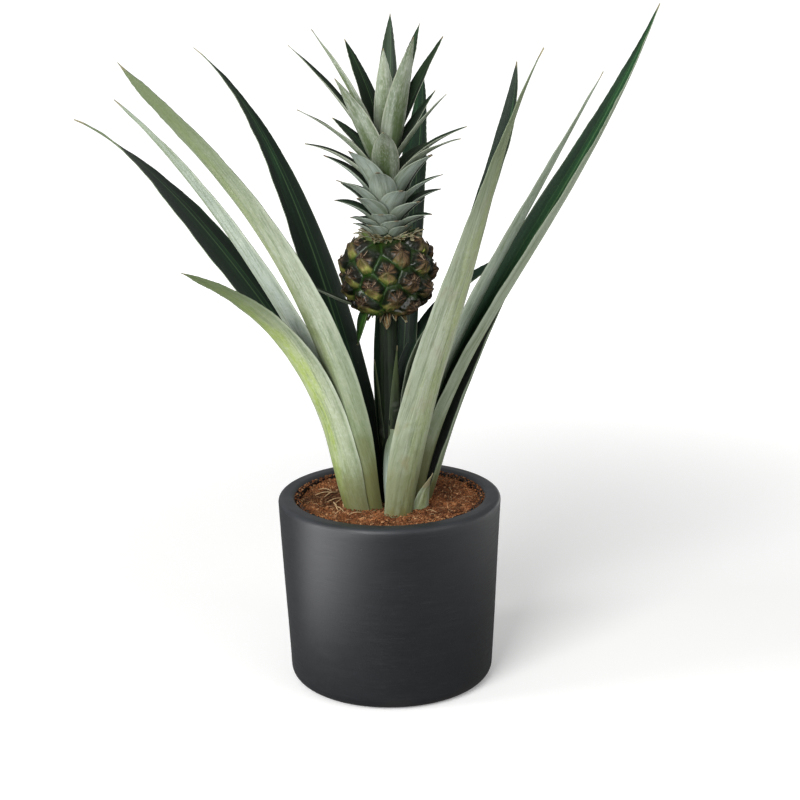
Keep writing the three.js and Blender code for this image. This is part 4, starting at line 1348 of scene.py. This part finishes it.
def build_fruit(p):
    """The fruit: each point rises with the eye that it is nearest to."""
    radius, rise, size = p.radius / MM, p.eye_rise / MM, p.eye_radius / MM
    eye_s, eye_a = eye_places()
    s = np.linspace(0, 1, p.rows)
    a = np.linspace(0, 2 * math.pi, p.sides, endpoint=False)
    s_all, a_all = (m.ravel() for m in np.meshgrid(s, a, indexing="ij"))
    skin = fruit_point(s_all, a_all, 0.0, radius, rise)
    eyes = fruit_point(eye_s, eye_a, 0.0, radius, rise)
    gap = skin[:, None, :] - eyes[None, :, :]
    distance = np.linalg.norm(gap, axis=2)
    order = np.argsort(distance, axis=1)[:, :2]
    row = np.arange(len(skin))
    first, second = order[:, 0], order[:, 1]
    near, next_near = distance[row, first], distance[row, second]
    groove = (next_near - near) / 2
    azimuth = eye_a[first]
    right = np.stack([-np.sin(azimuth), np.cos(azimuth), np.zeros_like(azimuth)], axis=1)
    eye_x = (gap[row, first] * right).sum(axis=1) / size
    up = skin[:, 2] - eyes[first, 2]
    eye_y = np.sign(up) * np.sqrt(np.maximum(near**2 - (eye_x * size) ** 2, 0)) / size
    random = np.random.default_rng(7)
    tones = random.uniform(0, 1, EYE_COUNT)

    below = 0.12 - eye_y
    pad = smooth(0.16 + 0.95 * below - np.abs(eye_x), 0.0, 0.2) * smooth(below, 0.0, 0.15)
    rough = perlin(skin, 0.5, 6) * 0.5 + perlin(skin, 1.3, 8) * 0.22
    rough = rough * (0.6 + 0.8 * smooth(skin[:, 0], -5, 22))
    lift = eye_relief(rise, groove, near / size, eye_x, eye_y)
    lift = lift + pad * 0.8 + rough * smooth(groove, 0.0, 1.5) - 0.4
    lift = lift * smooth(s_all, 0.0, 0.03) * smooth(1 - s_all, 0.0, 0.03)
    points = fruit_point(s_all, a_all, lift, radius, rise) + (PLANT_X, PLANT_Y, 0)
    form = Form()
    form.add(
        points, grid_faces(p.rows, p.sides, wrap=True),
        eye_x=eye_x, eye_y=eye_y, groove=groove, pad=pad, tone=tones[first],
    )
    for end, height in ((0, FRUIT_BOTTOM), (p.rows - 1, FRUIT_TOP)):
        ring = points[end * p.sides : (end + 1) * p.sides]
        middle = np.tile((PLANT_X, PLANT_Y, height), (p.sides, 1))
        loops = np.concatenate([ring, middle])
        form.add(loops, grid_faces(2, p.sides, wrap=True, flip=end == 0),
                 eye_x=0.0, eye_y=0.0, groove=1.0, pad=0.0, tone=0.5)
    made = form.object("pineapple_fruit", fruit_material(), "fruit", sharp=75, weld=True)
    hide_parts("fruit")
    build_eye_bracts(p, tones)


def build_eye_bracts(p, tones):
    """The dry pointed bract over the middle of each eye, with its loose fibres."""
    radius, rise = p.radius / MM, p.eye_rise / MM
    height = FRUIT_TOP - FRUIT_BOTTOM
    random = np.random.default_rng(19)
    flaps, fibres = Form(), Form()
    for s, azimuth, tone in zip(*eye_places(), tones):
        for side_step, share in ((0.0, 1.0), (-2.4, 0.5), (2.3, 0.55)):
            length = random.uniform(6.0, 8.5) * share / height
            width = random.uniform(5.0, 7.0) * share
            rows, columns = 9, 7
            t = np.linspace(0, 1, rows)[:, None]
            v = np.linspace(-1, 1, columns)[None, :]
            at = np.clip(s - 0.1 + length * t + 0 * v, 0.01, 0.995)
            half = width / 2 * (1 - t) ** 0.8 * (1 + 0.12 * np.sin(9 * t + tone * 30)) + 0.08
            sway = side_step * (1 - 0.5 * t) + random.uniform(-1.0, 1.0) * t**2
            lift = 2.0 + 2.0 * np.sin(t * math.pi * 0.5) + random.uniform(-0.6, 0.6) * t**4
            lift = lift - 0.9 * v * v * (1 - t) + 0.3 * np.sin(7 * v + tone * 20) * t
            turn = azimuth + (half * v + sway) / radius
            outer = fruit_point(at, turn, lift, radius, rise).reshape(-1, 3)
            inner = fruit_point(at, turn, lift - 0.35, radius, rise).reshape(-1, 3)
            along = np.tile(np.repeat(np.linspace(0, 1, rows), columns), 2)
            points = np.concatenate([outer, inner]) + (PLANT_X, PLANT_Y, 0)
            across = np.tile(np.tile(v.ravel(), rows), 2)
            flaps.add(points, sheet_faces(rows, columns, ends=False),
                      along=along, across=across, tone=tone)
        for _ in range(EYE_FIBRES):
            way, reach = random.uniform(-0.7, 3.8), random.uniform(2.2, 6.0)
            rooted = fruit_point(s - 0.01, azimuth, 4.3, radius, rise)
            end = fruit_point(np.clip(s + math.sin(way) * reach / height, 0, 0.995),
                              azimuth + math.cos(way) * reach / radius,
                              random.uniform(2.5, 3.6), radius, rise)
            path = [mix(rooted, end, q) + (0, 0, 0.4 * math.sin(q * math.pi))
                    for q in np.linspace(0, 1, 5)]
            add_strand(fibres, np.array(path) + (PLANT_X, PLANT_Y, 0),
                       random.uniform(0.07, 0.14), tone=random.uniform(0.0, 1.0))
    flaps.object("eye_bracts", bract_material(), "fruit", sharp=50)
    fibres.object("eye_fibres", strand_material("eye_fibre", "#33241a", "#cdb598"), "fruit")


def bract_material():
    """Papery bract: green-gold at its foot, brown and pale fibres to its point."""
    material, g, shader = new_material("eye_bract", Specular_IOR_Level=0.2)
    along, across, tone = g.value("along"), g.value("across"), g.value("tone")
    place = g.vector(g.times(across, 7.0), along, g.times(tone, 30.0))
    fibre = g.noise(place, 1.0, 4.0, 0.7)
    foot = g.tint("#7d8a3c", "#3f2f1d", tone, 0.3, 0.8)
    color = g.tint(foot, "#22180f", along, 0.22, 0.55)
    color = g.tint(color, "#8a7052", fibre, 0.54, 0.66, 0.0, 0.72)
    color = g.tint(color, "#22160e", fibre, 0.32, 0.44, 0.75, 0.0)
    color = g.tint(color, "#b09777", along, 0.85, 1.0, 0.0, 0.4)
    dress(g, shader, color, g.window(fibre, 0.3, 0.7, 0.45, 0.8), fibre, 0.6, 0.0005)
    return material


def crown_leaf(azimuth, low, reach, high, width, bend, p, twist=0.0):
    """A leaf of the crown from its base to its tip."""
    share = min(max((low - FRUIT_TOP) / (p.core_height / MM), 0), 1)
    radius = max(mix(p.core_radius / MM, CORE_TIP, share) - 3, 1.5)
    chord = math.hypot(reach - radius, high - low)
    slope = math.degrees(math.atan2(reach - radius, high - low))
    return {
        "base": ring_point(azimuth, radius, low),
        "length": chord * math.radians(bend) / math.sin(math.radians(bend)),
        "lean": (slope - bend, slope - bend / 3, slope + bend / 3, slope + bend),
        "azimuth": (azimuth, azimuth, azimuth),
        "twist": (0, twist / 2, twist),
        "fold": (40, 34, 12),
        "width": (width * 0.62, width),
        "widest": 0.42,
        "taper": mix(2.4, 1.6, min(chord / 80, 1)),
        "thickness": 1.1, "edge": 0.4, "tip_width": 0.3,
    }


def build_crown(p):
    """The core, the low spiral of scales and the high leaves."""
    random = seeded(41)
    core = Form()
    low = FRUIT_TOP + 0.3
    high, wide = low + p.core_height / MM, p.core_radius / MM
    profile = [(0.0, low), (wide - 1.5, low), (wide, low + 4.0), (7.1, low + 28.5)]
    profile += [(CORE_TIP, high), (0.0, high)]
    turned(core, profile, 32)
    core.points[0] += (PLANT_X, PLANT_Y, 0)
    core.object("crown_core", stalk_material(), "crown", weld=True)
    form = Form()
    for i in range(p.spiral_leaves):
        u = np.array(i / p.spiral_leaves)
        azimuth = CROWN_PHASE + CROWN_TURN * i
        front = max(0.0, -math.sin(math.radians(azimuth))) ** 2 * (1 - float(u))
        reach = float(through(SPIRAL_REACH, u)) + mix(-1.5, 1.5, random())
        shape = crown_leaf(
            azimuth,
            FRUIT_TOP - 2.8 + p.rise / MM * i,
            reach * (1 - 0.4 * front),
            float(through(SPIRAL_TIP, u)) + mix(-1.5, 1.5, random()),
            float(through(SPIRAL_WIDTH, u)),
            float(through(SPIRAL_BEND, u)),
            p,
            mix(-8, 8, random()),
        )
        add_blade(form, shape, 26, 14, tone=i * 0.618 % 1, wave=0.15, teeth=0.3)
    look = ("#cbdad3", "#bac9bf", "#2b3d2c", 0.05, 0.15)
    # Foot and Shade Run paint the scales darker as shade from the foot over most of their length,
    # where the scale in front covers them.
    scales = leaf_material("crown_scale_skin", look, Silver=0.8, Foot=1.35, Tip=0.3,
                           Margin="#dbe3d8", Dry="#6f5d45", Shade_Run=0.95)
    made = form.object("crown_scales", scales, "crown")
    form = Form()
    for i, values in enumerate(CROWN_TOP_LEAVES):
        add_blade(form, crown_leaf(*values, p), 44, 14, tone=i * 0.618 % 1, wave=0.18, teeth=0.35)
    look = ("#949e8b", "#77835f", "#1e2f1b", 0.02, 0.15)
    # Foot paints the blades darker as shade at their feet.
    blades = leaf_material("crown_blade_skin", look, Silver=0.95, Foot=0.8, Tip=0.15,
                           Margin="#d0d2c0", Dry="#8a8064", Sap=0.9)
    top = form.object("crown_blades", blades, "crown")
    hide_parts("crown")
    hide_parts("crown")
    build_crown_fringe()


def build_crown_fringe():
    """Small green and dry leaves where the crown sits on the fruit."""
    random = np.random.default_rng(23)
    green, dry = Form(), Form()
    for i in range(FRINGE_LEAVES):
        azimuth = math.degrees(GOLDEN_TURN * i) + random.uniform(-8, 8)
        radius = random.uniform(8.5, 15)
        lean = random.uniform(30, 70)
        shape = {
            "base": ring_point(azimuth, radius, random.uniform(292.5, 294.8)),
            "length": random.uniform(5, 10.5), "azimuth": (azimuth, azimuth, azimuth),
            "lean": (lean, lean + 10, lean + 25, lean + random.uniform(20, 60)),
            "twist": (0, random.uniform(-25, 25), random.uniform(-60, 60)),
            "fold": (35, 25, 10), "width": (2.6, random.uniform(2.4, 4.6)), "widest": 0.3,
            "taper": 1.4, "thickness": 0.7, "edge": 0.4,
        }
        chosen = green if i % 5 < 2 else dry
        add_blade(chosen, shape, 12, 4, tone=random.uniform(0, 1), wave=0.3)
    look = ("#74853f", "#7e9444", "#4a5c2c", 0.3, 0.6)
    skin = leaf_material("fringe_green_skin", look, Silver=0.2, Foot=0.3)
    green.object("fringe_green", skin, "crown")
    look = ("#7d6238", "#93773f", "#4f3c22", 0.3, 0.9)
    skin = leaf_material("fringe_dry_skin", look, Silver=0.15, Foot=0.3)
    dry.object("fringe_dry", skin, "crown")


def area_light(name, power, size, place):
    data = bpy.data.lights.new(name, "AREA")
    data.shape = "RECTANGLE"
    data.size, data.size_y = size
    data.energy = power
    lamp = new_object(name, data)
    lamp.location = place
    lamp.rotation_euler = (Vector(LAMP_AIM) - Vector(place)).to_track_quat("-Z", "Y").to_euler()


def build_stage(p):
    """Floor, even sky, three soft lamps and the photo's camera."""
    size = p.floor_size / 2
    mesh = bpy.data.meshes.new("pale_floor")
    corners = [(-size, -size), (size, -size), (size, size), (-size, size)]
    mesh.from_pydata([(x, y, -0.0002) for x, y in corners], [], [(0, 1, 2, 3)])
    mesh.materials.append(floor_material(tuple(p.floor_tint)))
    floor = new_object("pale_floor", mesh)

    world = bpy.data.worlds.new("soft_studio")
    world.use_nodes = True
    sky = world.node_tree.nodes["Background"]
    sky.inputs["Color"].default_value = grey(1.0)
    sky.inputs["Strength"].default_value = p.sky
    bpy.context.scene.world = world
    area_light("key_softbox", p.key_power, (1.0, 1.2), (-0.75, -1.5, 1.05))
    area_light("side_strip", p.strip_power, (0.35, 0.8), (-1.3, -0.42, 0.42))
    area_light("fill_softbox", p.fill_power, (1.0, 1.0), (1.3, -1.0, 0.9))

    data = bpy.data.cameras.new("photo_camera")
    data.lens = p.lens
    data.sensor_width = 36.0
    data.clip_start, data.clip_end = 0.05, 100.0
    camera = new_object("photo_camera", data)
    pitch, roll = math.radians(CAMERA_PITCH), math.radians(CAMERA_ROLL)
    right, up = Vector((1, 0, 0)), Vector((0, math.sin(pitch), math.cos(pitch)))
    ahead = Vector((0, math.cos(pitch), -math.sin(pitch)))
    side = right * math.cos(roll) - up * math.sin(roll)
    top = right * math.sin(roll) + up * math.cos(roll)
    turn = Matrix((side, top, -ahead)).transposed().to_4x4()
    camera.matrix_world = Matrix.Translation(CAMERA_PLACE) @ turn
    bpy.context.scene.camera = camera
    bpy.context.scene.view_settings.view_transform = "Standard"


# Add-on parts


class PLANT_OT_pot(bpy.types.Operator):
    """Build the outer pot"""

    bl_idname = "plant.build_pot"
    bl_label = "Outer pot"

    def execute(self, context):
        build_pot(context.scene.plant_pot)
        return {"FINISHED"}


class PLANT_OT_nursery_pot(bpy.types.Operator):
    """Finish the thin inner pot and add its rolled rim"""

    bl_idname = "plant.build_nursery_pot"
    bl_label = "Inner pot"

    def execute(self, context):
        build_nursery_pot()
        return {"FINISHED"}


class PLANT_OT_soil(bpy.types.Operator):
    """Build the soil, its crumbs and its fibres"""

    bl_idname = "plant.build_soil"
    bl_label = "Soil"

    def execute(self, context):
        build_soil(context.scene.plant_soil)
        return {"FINISHED"}


class PLANT_OT_leaves(bpy.types.Operator):
    """Build the long leaves of the rosette"""

    bl_idname = "plant.build_leaves"
    bl_label = "Leaves"

    def execute(self, context):
        build_leaves(context.scene.plant_leaves, context.scene.plant_soil)
        return {"FINISHED"}


class PLANT_OT_stalk(bpy.types.Operator):
    """Build the fruit stalk with its sheaths and bracts"""

    bl_idname = "plant.build_stalk"
    bl_label = "Stalk"

    def execute(self, context):
        build_stalk(context.scene.plant_fruit)
        return {"FINISHED"}


class PLANT_OT_fruit(bpy.types.Operator):
    """Build the fruit with its eyes and their bracts"""

    bl_idname = "plant.build_fruit"
    bl_label = "Fruit"

    def execute(self, context):
        build_fruit(context.scene.plant_fruit)
        return {"FINISHED"}


class PLANT_OT_crown(bpy.types.Operator):
    """Build the crown of short leaves"""

    bl_idname = "plant.build_crown"
    bl_label = "Crown"

    def execute(self, context):
        build_crown(context.scene.plant_crown)
        return {"FINISHED"}


class PLANT_OT_stage(bpy.types.Operator):
    """Build the floor, the lights and the camera"""

    bl_idname = "plant.build_stage"
    bl_label = "Stage"

    def execute(self, context):
        build_stage(context.scene.plant_stage)
        return {"FINISHED"}


class PLANT_PT_panel(bpy.types.Panel):
    """Sizes, colours and build steps of the plant"""

    bl_idname = "PLANT_PT_panel"
    bl_label = "Potted Pineapple Plant"
    bl_space_type = "VIEW_3D"
    bl_region_type = "UI"
    bl_category = "Plant"

    def draw(self, context):
        for name, kind in GROUPS:
            box = self.layout.box()
            for key in kind.__annotations__:
                box.prop(getattr(context.scene, name), key)
        for operator in OPERATORS:
            self.layout.operator(operator.bl_idname)


GROUPS = (
    ("plant_pot", PLANT_PG_pot),
    ("plant_soil", PLANT_PG_soil),
    ("plant_leaves", PLANT_PG_leaves),
    ("plant_fruit", PLANT_PG_fruit),
    ("plant_crown", PLANT_PG_crown),
    ("plant_stage", PLANT_PG_stage),
)
OPERATORS = (
    PLANT_OT_pot,
    PLANT_OT_nursery_pot,
    PLANT_OT_soil,
    PLANT_OT_leaves,
    PLANT_OT_stalk,
    PLANT_OT_fruit,
    PLANT_OT_crown,
    PLANT_OT_stage,
)


def register():
    for name, kind in GROUPS:
        bpy.utils.register_class(kind)
        setattr(bpy.types.Scene, name, bpy.props.PointerProperty(type=kind))
    for kind in (*OPERATORS, PLANT_PT_panel):
        bpy.utils.register_class(kind)


def unregister():
    for kind in (PLANT_PT_panel, *reversed(OPERATORS)):
        bpy.utils.unregister_class(kind)
    for name, kind in reversed(GROUPS):
        delattr(bpy.types.Scene, name)
        bpy.utils.unregister_class(kind)


def main():
    """Builds every piece and the stage."""
    register()
    bpy.ops.plant.build_pot()
    bpy.ops.plant.build_nursery_pot()
    bpy.ops.plant.build_soil()
    bpy.ops.plant.build_leaves()
    bpy.ops.plant.build_stalk()
    bpy.ops.plant.build_fruit()
    bpy.ops.plant.build_crown()
    bpy.ops.plant.build_stage()


if __name__ == "__main__":
    main()
